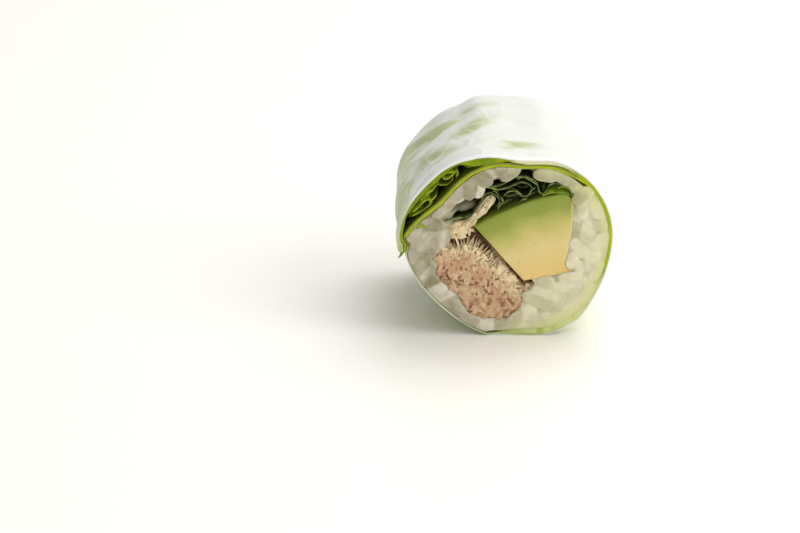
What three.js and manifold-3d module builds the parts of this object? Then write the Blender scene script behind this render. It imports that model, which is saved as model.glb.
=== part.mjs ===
// A slice of a filled rice paper roll, lying on its wrapper.
// Millimetres, +Z up. The roll's own axis runs along Y: its two cut faces look along -Y and +Y.
// The origin is on the surface it rests on, under the middle of the slice.
import * as THREE from "three";
import { mergeVertices } from "three/addons/utils/BufferGeometryUtils.js";
import Module from "manifold-3d";

const wasm = await Module();
wasm.setup();

// ---------------------------------------------------------------- driving dimensions
const ROLL_LENGTH = 45; // from cut to cut
const PAPER = 0.4; // soaked rice paper
const LEAF = 0.5; // lettuce blade
const HERB = 0.45; // thin leaves over the avocado
const GAP = 0.15; // clearance between neighbouring pieces
const INSET = 0.2; // how far the leaves stay inside the cut edge of the paper
const GRAIN = { length: 6.3, width: 3.3, height: 3.0 }; // a cooked grain of sushi rice
const GRAIN_SPACING = 3.3; // the nearest that two grains lie, middle to middle
const FLAKE = { length: 6.0, width: 2.0, height: 1.6 }; // a bundle of fibres in flaked tuna
const FLAKE_SPACING = 3.0;
const EASED = 0.5; // how far the avocado's cut edges are rounded

// The outside of the slice in section, as [x, z], clockwise as seen from the front.
// It starts at the wrapper's free edge, low on the left, and is pressed flat underneath.
const OUTLINE = [
  [-25.6, 21.5],
  [-25.3, 29.0],
  [-21.4, 37.0],
  [-14.0, 43.8],
  [-5.6, 46.6],
  [4.4, 46.2],
  [13.4, 44.9],
  [20.6, 40.3],
  [25.0, 33.0],
  [25.9, 24.5],
  [24.3, 14.5],
  [19.4, 5.0],
  [11.4, 0.4],
  [2.6, -0.6],
  [-5.2, 0.6],
  [-13.7, 6.0],
  [-20.4, 13.2],
];

// Places round the roll are counted in turns from the wrapper's free edge.
const WRAPPER_END = 1.38; // the sheet goes round once and on over the pocket
const TUCK = 0.93; // here the sheet starts to dip under its own free edge
const LETTUCE = { from: -0.012, to: 0.8 };
const INNER_LETTUCE = { from: 1.03, to: 1.4 };
const POCKET = { from: 0.03, to: 0.27, depth: 4.1, peak: 0.42 }; // room for folded leaf
const FOLD = { from: 0.06, to: 0.24, waves: 3.5, thickness: 0.4, points: 30, wander: 0.6 };

const BARREL = 0.45; // how much the middle swells past the cut edges
const RIPPLE = { height: 0.28, waves: 3, slant: 41, stretch: 9 }; // low waves in the wrapping
const SWELL_FROM = [0.5, 8]; // nothing swells near the ground: it fades in over this height
const BACK_RISE = 1.6; // the knife pressed the front down: the back cut stands this much taller
const RISE_FROM = [34, 45]; // heights between which that rise fades in
const RISE_LEFT = [-11, -5]; // where it fades in across the top, and out again on the right
const RISE_RIGHT = [8, 18];
const BACK_DROP = { by: 1.4, turn: 0.44, over: 0.045 }; // the back's upper right lies lower
const FLARE = { by: 0.9, turn: 0.51, over: 0.05, y: -14, along: 10 }; // a bulge on the right
const TURN_STEPS = 64; // facets round one turn
const LENGTH_STEPS = 4; // facets from cut to cut
const HALF = ROLL_LENGTH / 2;

// The fillings in section, [x, z], anticlockwise as seen from the front.
const TUNA = [
  [-14.0, 29.4],
  [-13.4, 25.4],
  [-14.2, 23.6],
  [-17.2, 21.2],
  [-15.9, 14.4],
  [-11.6, 10.6],
  [-9.0, 5.6],
  [-4.4, 4.0],
  [1.4, 4.2],
  [4.6, 7.4],
  [5.2, 11.2],
  [8.6, 13.4],
  [4.2, 14.3],
  [-1.6, 21.1],
  [-8.2, 28.4],
  [-5.4, 31.1],
  [-2.2, 35.3],
  [-4.2, 36.2],
  [-6.6, 32.8],
  [-9.2, 30.2],
];
const AVOCADO = {
  tip: [-7.6, 28.6], // thin end of the wedge, at the skin side
  crown: [3.0, 35.0], // pulls the skin side into a shallow arch
  shoulder: [13.3, 37.0],
  corner: [16.9, 36.8],
  flank: [16.7, 33.6],
  belly: [17.3, 25.0],
  heel: [14.9, 16.2],
  foot: [4.8, 14.2],
};
const HERB_HOLLOW = [
  [-13.8, 30.2],
  [-9.4, 30.4],
  [-7.6, 28.3],
  [4.0, 33.0],
  [17.2, 34.0],
  [17.4, 37.2],
  [15.4, 39.6],
  [12.8, 40.4],
  [9.6, 40.4],
  [8.1, 41.6],
  [6.2, 42.7],
  [3.4, 42.6],
  [1.2, 41.2],
  [-2.2, 40.0],
  [-5.4, 38.8],
  [-7.4, 36.6],
  [-9.0, 35.2],
  [-11.2, 33.4],
];
const THIN_LEAVES = {
  herb_leaf_top: [
    [-4.6, 38.5],
    [-1.2, 39.3],
    [2.6, 41.3],
    [5.6, 41.2],
    [7.6, 39.6],
    [8.2, 37.6],
    [9.2, 37.1],
    [10.6, 39.0],
    [12.8, 39.5],
    [15.4, 38.1],
  ],
  herb_leaf_middle: [
    [-2.6, 38.1],
    [0.2, 38.7],
    [3.2, 40.0],
    [5.6, 39.6],
    [6.8, 38.6],
  ],
  herb_leaf_low: [
    [-0.4, 36.4],
    [1.0, 37.6],
    [2.8, 37.6],
    [4.2, 36.4],
    [5.4, 36.6],
    [6.6, 37.4],
  ],
  herb_leaf_loop: [
    [-5.9, 34.9],
    [-5.3, 36.6],
    [-3.6, 37.3],
    [-1.8, 36.4],
    [-1.2, 34.8],
    [-2.2, 33.6],
  ],
  lettuce_scrap: [
    [-21.4, 28.0],
    [-20.2, 28.9],
    [-18.9, 28.2],
  ],
};
const LEAF_SWAY = 0.12; // how far a thin leaf wanders between the cuts
const HOLLOW_DEPTH = 7; // how far in from a cut the gap round the herb leaves goes

// ---------------------------------------------------------------- small helpers
// Seeded random numbers from 0 to 1, the same ones on every run.
function seeded(seed) {
  let state = seed >>> 0;
  return () => {
    state = (Math.imul(state, 1664525) + 1013904223) >>> 0;
    return state / 2 ** 32;
  };
}

function smoothstep(low, high, x) {
  const s = THREE.MathUtils.clamp((x - low) / (high - low), 0, 1);
  return s * s * (3 - 2 * s);
}

// From 0 far away up to 1 at a middle, like a bell.
function bell(x, middle, width) {
  return Math.exp(-(((x - middle) / width) ** 2));
}

function curvePoints(points, closed, count) {
  const curve = new THREE.CatmullRomCurve3(
    points.map(([x, z]) => new THREE.Vector3(x, 0, z)),
    closed,
    "catmullrom",
  );
  const made = curve.getSpacedPoints(count);
  return closed ? made.slice(0, count) : made;
}

// The left-hand normals of a run of points in the XZ plane.
function leftNormals(points, closed) {
  const last = points.length - 1;
  return points.map((_, i) => {
    const before = closed ? points.at(i - 1) : points[Math.max(i - 1, 0)];
    const after = closed ? points[(i + 1) % points.length] : points[Math.min(i + 1, last)];
    const along = after.clone().sub(before).normalize();
    return new THREE.Vector3(-along.z, 0, along.x);
  });
}

// ---------------------------------------------------------------- closed surfaces
// Joins rings of points, front to back, into one closed surface. Every ring runs anticlockwise
// as seen from the front, and caps holds the triangles that close an end.
function loft(rings, caps) {
  const count = rings[0].length;
  const index = [];
  for (let j = 0; j + 1 < rings.length; j++) {
    for (let i = 0; i < count; i++) {
      const next = (i + 1) % count;
      const [a, b] = [j * count + i, j * count + next];
      index.push(a, b + count, b, a, a + count, b + count);
    }
  }
  const back = (rings.length - 1) * count;
  for (const [a, b, c] of caps) {
    index.push(a, b, c);
    index.push(back + c, back + b, back + a);
  }
  const positions = rings.flat().flatMap((p) => [p.x, p.y, p.z]);
  return new THREE.BufferGeometry()
    .setAttribute("position", new THREE.Float32BufferAttribute(positions, 3))
    .setIndex(index);
}

// A ladder of triangles across the end of a thin strip, whose ring goes out along one face and
// back along the other.
function stripCaps(count) {
  const caps = [];
  for (let i = 0; i + 1 < count / 2; i++) {
    const across = count - 1 - i;
    caps.push([i, i + 1, across - 1], [i, across - 1, across]);
  }
  return caps;
}

function faceCaps(ring) {
  const flat = ring.map((p) => new THREE.Vector2(p.x, p.z));
  return THREE.ShapeUtils.triangulateShape(flat, []);
}

function flatRing(section, y) {
  return section.map(([x, z]) => new THREE.Vector3(x, y, z));
}

function prism(section, halfLength) {
  const rings = [flatRing(section, -halfLength), flatRing(section, halfLength)];
  return loft(rings, faceCaps(rings[0]));
}

function toSolid(geometry) {
  const bare = geometry.clone();
  bare.deleteAttribute("normal");
  bare.deleteAttribute("uv");
  const merged = mergeVertices(bare, 1e-4);
  return new wasm.Manifold(
    new wasm.Mesh({
      numProp: 3,
      vertProperties: new Float32Array(merged.attributes.position.array),
      triVerts: new Uint32Array(merged.index.array),
    }),
  );
}

function toGeometry(solid) {
  const { vertProperties, triVerts } = solid.getMesh();
  return new THREE.BufferGeometry()
    .setAttribute("position", new THREE.BufferAttribute(vertProperties, 3))
    .setIndex(new THREE.BufferAttribute(triVerts, 1));
}

// The largest body of a solid, so that a loose scrap from a cut is dropped.
function mainBody(solid) {
  return solid.decompose().sort((a, b) => b.volume() - a.volume())[0];
}

// ---------------------------------------------------------------- the wrapped surface
const rim = curvePoints(OUTLINE, true, TURN_STEPS);
for (const p of rim) {
  p.z = Math.max(p.z, 0);
}
const rimNormals = leftNormals(rim, true);

// A point at a whole step round the roll and so deep under its outside, at station y. The swell
// can be taken from another station.
function wrapped(step, depth, y, swellAt = y) {
  const k = THREE.MathUtils.euclideanModulo(step, TURN_STEPS);
  const [base, normal] = [rim[k], rimNormals[k]];
  const barrel = BARREL * (1 - (swellAt / HALF) ** 2);
  const phase = (RIPPLE.waves * k) / TURN_STEPS + swellAt / RIPPLE.slant;
  const wave = Math.sin(2 * Math.PI * phase) * Math.cos(swellAt / RIPPLE.stretch);
  const turn = k / TURN_STEPS;
  const flare = FLARE.by * bell(turn, FLARE.turn, FLARE.over) * bell(swellAt, FLARE.y, FLARE.along);
  const swell = smoothstep(...SWELL_FROM, base.z) * (barrel + RIPPLE.height * wave + flare);
  const over = smoothstep(...RISE_LEFT, base.x) * (1 - smoothstep(...RISE_RIGHT, base.x));
  const rise = BACK_RISE * smoothstep(...RISE_FROM, base.z) * over;
  const drop = BACK_DROP.by * bell(turn, BACK_DROP.turn, BACK_DROP.over);
  const out = swell + (rise - drop) * (0.5 + y / ROLL_LENGTH) - depth;
  return new THREE.Vector3(base.x + normal.x * out, y, base.z + normal.z * out);
}

// How much deeper the pocket pushes the sheet, so many turns from the free edge.
function pocketDepth(turn) {
  const s = (turn - POCKET.from) / (POCKET.to - POCKET.from);
  if (s <= 0 || s >= 1) {
    return 0;
  }
  const skewed = s ** (Math.log(0.5) / Math.log(POCKET.peak));
  return POCKET.depth * Math.sin(Math.PI * skewed) ** 1.5;
}

// How deep the sheet's outer face lies: on the outside at first, then under its own free edge.
function sheetDepth(turn) {
  return smoothstep(TUCK, 1, turn) * (PAPER + LEAF + 2 * GAP) + pocketDepth(turn - 1);
}

function underSheet(turn) {
  return sheetDepth(turn) + PAPER + GAP;
}

// The sheets that go round the roll, between two places, with their outer face that deep.
const SHEETS = {
  rice_paper: { from: 0, to: WRAPPER_END, depth: sheetDepth, thickness: PAPER, inset: 0 },
  lettuce_leaf: { ...LETTUCE, depth: underSheet, thickness: LEAF, inset: INSET },
  lettuce_inner: { ...INNER_LETTUCE, depth: underSheet, thickness: LEAF, inset: INSET },
};

const stations = Array.from(
  { length: LENGTH_STEPS + 1 },
  (_, j) => -HALF + (j * ROLL_LENGTH) / LENGTH_STEPS,
);

function steps({ from, to }) {
  const [first, last] = [Math.round(from * TURN_STEPS), Math.round(to * TURN_STEPS)];
  return Array.from({ length: last - first + 1 }, (_, i) => first + i);
}

// Joins the outer and inner faces of a thin piece; face gives its points at a station, so far
// below the outer face.
function thinPiece(face, thickness, inset) {
  const rings = stations.map((y) => {
    const at = y * (1 - inset / HALF);
    return [...face(at, thickness), ...face(at, 0).reverse()];
  });
  return loft(rings, stripCaps(rings[0].length));
}

function rolledSheet(sheet) {
  const face = (y, below) =>
    steps(sheet).map((k) => wrapped(k, sheet.depth(k / TURN_STEPS) + below, y));
  return thinPiece(face, sheet.thickness, sheet.inset);
}

// How deep the rice starts at a step: under every sheet that passes there.
function riceDepth(step) {
  const passing = Object.values(SHEETS).flatMap((sheet) =>
    steps(sheet)
      .filter((k) => THREE.MathUtils.euclideanModulo(k - step, TURN_STEPS) === 0)
      .map((k) => sheet.depth(k / TURN_STEPS) + sheet.thickness + GAP),
  );
  return Math.max(...passing);
}

// A leaf folded to and fro between the two faces of the pocket. Its folds wander along the roll.
function foldedLettuce() {
  const top = underSheet(0) + LEAF + GAP;
  const room = (step) => sheetDepth(step / TURN_STEPS + 1) - top - GAP - FOLD.thickness;
  const point = (y, below, along) => {
    const phase = FOLD.waves * along + (FOLD.wander * y) / ROLL_LENGTH;
    const share = 0.5 - 0.5 * Math.cos(2 * Math.PI * phase);
    const step = (FOLD.from + along * (FOLD.to - FOLD.from)) * TURN_STEPS;
    const before = Math.floor(step);
    const [a, b] = [before, before + 1].map((k) =>
      wrapped(k, top + below + share * Math.max(room(k), 0), y),
    );
    return a.lerp(b, step - before);
  };
  const face = (y, below) =>
    Array.from({ length: FOLD.points + 1 }, (_, i) => point(y, below, i / FOLD.points));
  return thinPiece(face, FOLD.thickness, INSET);
}

// ---------------------------------------------------------------- fillings
// A closed outline moved outwards, each corner by the same distance from both of its sides.
function grown(points, distance) {
  return points.map(([x, z], i) => {
    const [beforeX, beforeZ] = points.at(i - 1);
    const [afterX, afterZ] = points[(i + 1) % points.length];
    const a = new THREE.Vector2(x - beforeX, z - beforeZ).normalize();
    const b = new THREE.Vector2(afterX - x, afterZ - z).normalize();
    const out = new THREE.Vector2(a.y + b.y, -a.x - b.x);
    const stretch = Math.min(2 / Math.max(out.lengthSq() / 2, 1e-6), 2.5);
    return [x + (out.x * distance * stretch) / 2, z + (out.y * distance * stretch) / 2];
  });
}

// How far a point is inside an outline; negative outside.
function clearance([x, z], points) {
  let nearest = Infinity;
  let inside = false;
  points.forEach(([ax, az], i) => {
    const [bx, bz] = points[(i + 1) % points.length];
    const [dx, dz] = [bx - ax, bz - az];
    const s = THREE.MathUtils.clamp(((x - ax) * dx + (z - az) * dz) / (dx * dx + dz * dz), 0, 1);
    nearest = Math.min(nearest, Math.hypot(x - ax - s * dx, z - az - s * dz));
    if (az > z !== bz > z && x < ax + ((z - az) / (bz - az)) * (bx - ax)) {
      inside = !inside;
    }
  });
  return inside ? nearest : -nearest;
}

function avocadoSection() {
  const a = AVOCADO;
  const shape = new THREE.Shape()
    .moveTo(...a.tip)
    .lineTo(...a.foot)
    .lineTo(...a.heel)
    .quadraticCurveTo(...a.belly, ...a.flank)
    .quadraticCurveTo(...a.corner, ...a.shoulder)
    .quadraticCurveTo(...a.crown, ...a.tip);
  return shape
    .getPoints(7)
    .slice(0, -1)
    .map((p) => [p.x, p.y]);
}

const avocadoOutline = avocadoSection();

function avocadoWedge() {
  const end = HALF - INSET / 2;
  const eased = grown(avocadoOutline, -EASED / 2);
  const rings = [
    flatRing(eased, -end),
    flatRing(avocadoOutline, EASED - end),
    flatRing(avocadoOutline, end - EASED),
    flatRing(eased, end),
  ];
  return loft(rings, faceCaps(rings[0]));
}

function ellipsoid({ length, width, height }, sides, rings) {
  return new THREE.SphereGeometry(0.5, sides, rings).scale(width, length, height);
}

// A small piece lying in a cut face, at [x, z]: its length turned in the face and tipped a little.
function laidInFace(shape, [x, z], y, turned, tipped) {
  const turn = new THREE.Matrix4().makeRotationY(turned);
  const tip = new THREE.Matrix4().makeRotationX(Math.PI / 2 + tipped);
  const place = new THREE.Matrix4().makeTranslation(x, y, z);
  return toSolid(shape.clone().applyMatrix4(place.multiply(turn).multiply(tip)));
}

// Seeded places strewn over a face, no two closer than spacing; fits says which are of use.
function strewn(section, spacing, fits, random) {
  const corners = section.map(([x, z]) => new THREE.Vector2(x, z));
  const { min, max } = new THREE.Box2().setFromPoints(corners);
  const tries = Math.round((40 * (max.x - min.x) * (max.y - min.y)) / spacing ** 2);
  const places = [];
  for (let i = 0; i < tries; i++) {
    const place = [
      THREE.MathUtils.lerp(min.x, max.x, random()),
      THREE.MathUtils.lerp(min.y, max.y, random()),
    ];
    const apart = places.every(([x, z]) => Math.hypot(x - place[0], z - place[1]) > spacing);
    if (apart && fits(place)) {
      places.push(place);
    }
  }
  return places;
}

function tunaBlock() {
  const random = seeded(11);
  const end = HALF - FLAKE.height * 0.6; // the flakes that show stand on this core
  const core = toSolid(prism(grown(TUNA, -0.25), end));
  const flakes = [];
  for (const side of [-1, 1]) {
    const fits = (place) => clearance(place, TUNA) > FLAKE.width * 0.4;
    for (const place of strewn(TUNA, FLAKE_SPACING, fits, random)) {
      const length = Math.min(FLAKE.length, 2.2 * clearance(place, TUNA) + FLAKE.height);
      const shape = ellipsoid({ ...FLAKE, length }, 4, 3);
      const y = side * (end + (random() - 0.3) * 0.6);
      flakes.push(laidInFace(shape, place, y, random() * Math.PI, (random() - 0.5) * 0.6));
    }
  }
  const bounds = toSolid(prism(TUNA, HALF));
  const joined = wasm.Manifold.union([core, ...flakes]).intersect(bounds);
  return toGeometry(mainBody(joined));
}

// ---------------------------------------------------------------- thin leaves
// The ring of a thin leaf along a line in section, pushed sideways by sway.
function leafRing(line, thickness, sway, y) {
  const normals = leftNormals(line, false);
  const face = (out) =>
    line.map((p, i) => p.clone().addScaledVector(normals[i], out + sway).setY(y));
  return [...face(-thickness / 2), ...face(thickness / 2).reverse()];
}

function thinLeaf(points, seed) {
  const line = curvePoints(points, false, points.length * 2);
  const rings = stations.map((y) => {
    const sway = LEAF_SWAY * Math.sin(y / 5 + seed);
    return leafRing(line, HERB, sway, y * (1 - INSET / HALF));
  });
  return loft(rings, stripCaps(rings[0].length));
}

// The slot a thin leaf takes in the rice, a little longer and wider than the leaf.
function leafSlot(points) {
  const line = curvePoints(points, false, points.length * 2);
  const beyond = (end, before) => end.clone().add(end.clone().sub(before).setLength(2 * GAP));
  const first = beyond(line[0], line[1]);
  const last = beyond(line.at(-1), line.at(-2));
  const longer = [first, ...line.slice(1, -1), last];
  const thickness = HERB + 2 * (LEAF_SWAY + GAP);
  const rings = [-HALF, HALF].map((y) => leafRing(longer, thickness, 0, y));
  return loft(rings, stripCaps(rings[0].length));
}

// ---------------------------------------------------------------- rice
const fillings = [HERB_HOLLOW, grown(avocadoOutline, GAP), grown(TUNA, GAP)];

// The space the wrapper leaves, in section: the rings inside every sheet that goes round.
function riceRing(y) {
  const round = steps({ from: 0, to: 1 }).slice(1).reverse();
  return round.map((k) => wrapped(k, riceDepth(k), y, HALF));
}

// That space less the fillings, out to so far from the middle.
function riceSpace(end) {
  const [hollow, avocado, tuna] = fillings.map((outline) => toSolid(prism(outline, ROLL_LENGTH)));
  const plug = toSolid(prism(grown(HERB_HOLLOW, 1), HALF - HOLLOW_DEPTH));
  const slots = Object.values(THIN_LEAVES).map((line) => toSolid(leafSlot(line)));
  return toSolid(loft([riceRing(-end), riceRing(end)], faceCaps(riceRing(0))))
    .subtract(hollow.subtract(plug))
    .subtract(wasm.Manifold.union([avocado, tuna, ...slots]));
}

// Three places along the middle of a grain that lies in a cut face.
function grainSpine([x, z], turned) {
  return [-0.3, 0, 0.3].map((part) => {
    const along = part * GRAIN.length;
    return [x + along * Math.sin(turned), z + along * Math.cos(turned)];
  });
}

// How far a grain is from the wrapper, the fillings and the grains laid before it.
function grainRoom(section, laid, spine) {
  const rooms = spine.map(([x, z]) => {
    const wall = clearance([x, z], section);
    const nearest = fillings.map((outline) => -clearance([x, z], outline));
    const others = laid.flat().map(([otherX, otherZ]) => Math.hypot(otherX - x, otherZ - z) / 2);
    return Math.min(wall, ...nearest, ...others);
  });
  return Math.min(...rooms) - GRAIN.width / 2;
}

function riceBed() {
  const random = seeded(7);
  const section = riceRing(0).map((p) => [p.x, p.z]);
  const end = HALF - GRAIN.height * 0.5; // the grains that show stand on this core
  const shape = ellipsoid(GRAIN, 5, 4);
  const grains = [];
  for (const side of [-1, 1]) {
    const laid = [];
    const fits = (place) =>
      clearance(place, section) > GRAIN.width / 3 &&
      fillings.every((outline) => clearance(place, outline) < -GRAIN.width / 3);
    for (const place of strewn(section, GRAIN_SPACING, fits, random)) {
      const turns = Array.from({ length: 12 }, (_, i) => ((i + random() / 2) * Math.PI) / 12);
      const rooms = turns.map((turned) => grainRoom(section, laid, grainSpine(place, turned)));
      const turned = turns[rooms.indexOf(Math.max(...rooms))];
      laid.push(grainSpine(place, turned));
      const y = side * (end + (random() - 0.6) * 0.5);
      grains.push(laidInFace(shape, place, y, turned, (random() - 0.5) * 0.4));
    }
  }
  const shown = wasm.Manifold.union(grains).intersect(riceSpace(HALF - INSET / 2));
  return toGeometry(mainBody(riceSpace(end).add(shown)));
}

// ---------------------------------------------------------------- the slice
const FINISHES = {
  paper: { color: 0xe9ebdc, roughness: 0.35 },
  lettuce: { color: 0x8fa63a, roughness: 0.5 },
  foldedLettuce: { color: 0x5f7a1e, roughness: 0.5 },
  rice: { color: 0xd8d3bd, roughness: 0.4 },
  avocado: { color: 0xc9b872, roughness: 0.45 },
  tuna: { color: 0xc39a70, roughness: 0.75 },
  herb: { color: 0x34501f, roughness: 0.5 },
};

const roll = new THREE.Group();

function addPiece(name, geometry, finish) {
  const material = new THREE.MeshStandardMaterial({ ...FINISHES[finish], metalness: 0 });
  const mesh = new THREE.Mesh(geometry, material);
  mesh.name = name;
  roll.add(mesh);
}

addPiece("rice_paper", rolledSheet(SHEETS.rice_paper), "paper");
addPiece("lettuce_leaf", rolledSheet(SHEETS.lettuce_leaf), "lettuce");
addPiece("lettuce_inner", rolledSheet(SHEETS.lettuce_inner), "lettuce");
addPiece("lettuce_fold", foldedLettuce(), "foldedLettuce");
addPiece("rice", riceBed(), "rice");
addPiece("avocado", avocadoWedge(), "avocado");
addPiece("tuna", tunaBlock(), "tuna");
Object.entries(THIN_LEAVES).forEach(([name, points], i) => {
  const finish = name.startsWith("herb") ? "herb" : "foldedLettuce";
  addPiece(name, thinLeaf(points, i), finish);
});

export default roll;
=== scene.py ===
"""A slice of a filled rice paper roll, dressed around its solids.

Shapes are worked out in millimetres, as in the part's source, and turned to metres in add_piece.
Y runs along the roll, the cut faces look along -Y and +Y, and +Z is up.
"""
import math

import bpy
import numpy as np
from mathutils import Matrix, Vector
from mathutils.geometry import delaunay_2d_cdt


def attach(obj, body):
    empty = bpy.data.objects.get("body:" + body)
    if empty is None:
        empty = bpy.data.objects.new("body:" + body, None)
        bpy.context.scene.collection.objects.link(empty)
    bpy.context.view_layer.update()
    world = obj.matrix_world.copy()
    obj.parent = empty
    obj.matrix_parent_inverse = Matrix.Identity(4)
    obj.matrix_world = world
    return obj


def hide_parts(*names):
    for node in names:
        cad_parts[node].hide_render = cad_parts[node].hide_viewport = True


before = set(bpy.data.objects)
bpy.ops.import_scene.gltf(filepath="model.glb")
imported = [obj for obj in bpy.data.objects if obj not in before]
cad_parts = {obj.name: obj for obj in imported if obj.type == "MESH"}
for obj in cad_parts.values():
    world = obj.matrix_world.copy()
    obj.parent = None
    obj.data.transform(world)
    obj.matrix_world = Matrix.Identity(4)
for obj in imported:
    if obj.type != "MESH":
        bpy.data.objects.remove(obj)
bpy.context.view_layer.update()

MM = 0.001

# ------------------------------------------------------------------ driving dimensions, in mm
ROLL_LENGTH = 45.0
HALF = ROLL_LENGTH / 2
PAPER = 0.4
LEAF = 0.5
GAP = 0.15
CLINGING = 0.12  # how much closer than the gap the wet leaves lie to the paper
GRAIN_LENGTH = 6.3
GRAIN_WIDTH = 3.3

# The outside of the slice in section, [x, z], clockwise as seen from the front, from the
# wrapper's free edge low on the left.
OUTLINE = [
    (-25.6, 21.5), (-25.3, 29.0), (-21.4, 37.0), (-14.0, 43.8), (-5.6, 46.6), (4.4, 46.2),
    (13.4, 44.9), (20.6, 40.3), (25.0, 33.0), (25.9, 24.5), (24.3, 14.5), (19.4, 5.0),
    (11.4, 0.4), (2.6, -0.6), (-5.2, 0.6), (-13.7, 6.0), (-20.4, 13.2),
]
AROUND = 150.0  # length of the outline, which one turn stands for
WRAPPER_END = 1.38
TUCK = 0.93
LETTUCE = (-0.012, 0.8)
INNER_LETTUCE = (1.03, 1.4)
POCKET_FROM, POCKET_TO, POCKET_DEPTH, POCKET_PEAK = 0.03, 0.27, 4.1, 0.42
FOLD_FROM, FOLD_TO, FOLD_WAVES, FOLD_WANDER, FOLD_THICKNESS = 0.06, 0.24, 3.5, 0.6, 0.4
BARREL = 0.45
BACK_RISE = 1.6  # the back cut stands this much taller than the front one
BACK_DROP = 1.4  # and its upper right lies this much lower
FLARE = 0.9  # a bulge of the wrapping on the right, behind the front cut

TUNA = [
    (-14.0, 29.4), (-13.4, 25.4), (-14.2, 23.6), (-17.2, 21.2), (-15.9, 14.4), (-11.6, 10.6),
    (-9.0, 5.6), (-4.4, 4.0), (1.4, 4.2), (4.6, 7.4), (5.2, 11.2), (8.6, 13.4), (4.2, 14.3),
    (-1.6, 21.1), (-8.2, 28.4), (-5.4, 31.1), (-2.2, 35.3), (-4.2, 36.2), (-6.6, 32.8),
    (-9.2, 30.2),
]
AVOCADO_TIP = (-7.6, 28.6)
AVOCADO_CROWN = (3.0, 35.0)
AVOCADO_SHOULDER = (13.3, 37.0)
AVOCADO_CORNER = (16.9, 36.8)
AVOCADO_FLANK = (16.7, 33.6)
AVOCADO_HEEL = (14.9, 16.2)
AVOCADO_FOOT = (4.8, 14.2)
AVOCADO_NIB = (17.5, 17.0)
AVOCADO_WAIST = (15.0, 19.2)
HERB_HOLLOW = [
    (-13.8, 30.2), (-9.4, 30.4), (-7.6, 28.3), (4.0, 33.0), (17.2, 34.0), (17.4, 37.2),
    (15.4, 39.6), (12.8, 40.4), (9.6, 40.4), (8.1, 41.6), (6.2, 42.7), (3.4, 42.6), (1.2, 41.2),
    (-2.2, 40.0), (-5.4, 38.8), (-7.4, 36.6), (-9.0, 35.2), (-11.2, 33.4),
]
HOLLOW_IN_RICE = [(min(x, 16.5), z) for x, z in HERB_HOLLOW]
SHADED_HOLLOW = [
    (-14.4, 31.2), (-8.4, 31.0), (-7.0, 33.5), (-7.2, 36.4), (-8.8, 36.2), (-11.8, 34.1),
]
THIN_LEAVES = {
    "herb_leaf_top": [
        (-4.6, 38.5), (-1.2, 39.3), (2.6, 41.3), (5.6, 41.2), (7.6, 39.6), (8.2, 37.6),
        (9.2, 37.1), (10.6, 39.0), (12.8, 39.5), (15.4, 38.1),
    ],
    "herb_leaf_middle": [(-2.6, 38.1), (0.2, 38.7), (3.2, 40.0), (5.6, 39.6), (6.8, 38.6)],
    "herb_leaf_low": [
        (-0.4, 36.4), (1.0, 37.6), (2.8, 37.6), (4.2, 36.4), (5.4, 36.6), (6.6, 37.4),
    ],
    "herb_leaf_loop": [
        (-5.9, 34.9), (-5.3, 36.6), (-3.6, 37.3), (-1.8, 36.4), (-1.2, 34.8), (-2.2, 33.6),
    ],
    "lettuce_scrap": [(-21.4, 28.0), (-20.2, 28.9), (-18.9, 28.2)],
}


# ------------------------------------------------------------------ numbers and curves
def smoothstep(low, high, x):
    s = np.clip((np.asarray(x, float) - low) / (high - low), 0, 1)
    return s * s * (3 - 2 * s)


def falling(low, high, x):
    """1 as far as low, then falling to 0 at high and beyond."""
    return 1 - smoothstep(low, high, x)


def between(x, starts, full, fades, ended):
    """0, rising to 1 from starts to full, and falling to 0 again from fades to ended."""
    return smoothstep(starts, full, x) * falling(fades, ended, x)


def bell(x, middle, width):
    """From 0 far away up to 1 at a middle."""
    return np.exp(-(((np.asarray(x, float) - middle) / width) ** 2))


def noise(points, seed=0):
    """Smooth value noise from -1 to 1 at (..., 3) points, one unit from lump to lump."""
    cell = np.floor(points).astype(np.int64)
    part = points - cell
    part = part * part * (3 - 2 * part)
    total = np.zeros(points.shape[:-1])
    for corner in np.ndindex(2, 2, 2):
        at = cell + np.array(corner)
        mixed = at[..., 0] * 374761393 + at[..., 1] * 668265263 + at[..., 2] * 1440662683
        mixed = (mixed + seed * 974634777) & 0xFFFFFFFF
        mixed = ((mixed ^ (mixed >> 13)) * 1274126177) & 0xFFFFFFFF
        mixed = ((mixed ^ (mixed >> 16)) * 668265263) & 0xFFFFFFFF
        value = (mixed ^ (mixed >> 15)) / 0xFFFFFFFF * 2 - 1
        weight = np.prod(np.where(np.array(corner) == 1, part, 1 - part), axis=-1)
        total = total + value * weight
    return total


def field(*coordinates):
    """Puts coordinate arrays of any matching shapes together as (..., 3) points."""
    arrays = np.broadcast_arrays(*[np.asarray(c, float) for c in coordinates])
    return np.stack(arrays, axis=-1)


def spline(points, closed, count):
    """A smooth line through points, as count places at even distances."""
    p = np.array(points, float)
    if closed:
        p = np.vstack([p[-1:], p, p[:2]])
    else:
        p = np.vstack([2 * p[0] - p[1], p, 2 * p[-1] - p[-2]])
    s = np.linspace(0, 1, 24, endpoint=False)[:, None]
    runs = []
    for a, b, c, d in zip(p, p[1:], p[2:], p[3:]):
        slope_b, slope_c = (c - a) / 2, (d - b) / 2
        runs.append(
            b + slope_b * s + (3 * (c - b) - 2 * slope_b - slope_c) * s**2
            + (2 * (b - c) + slope_b + slope_c) * s**3
        )
    dense = np.vstack(runs + [p[-2:-1]])
    along = np.concatenate([[0], np.cumsum(np.linalg.norm(np.diff(dense, axis=0), axis=1))])
    at = np.linspace(0, along[-1], count, endpoint=not closed)
    return np.stack([np.interp(at, along, dense[:, k]) for k in range(dense.shape[1])], axis=1)


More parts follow.
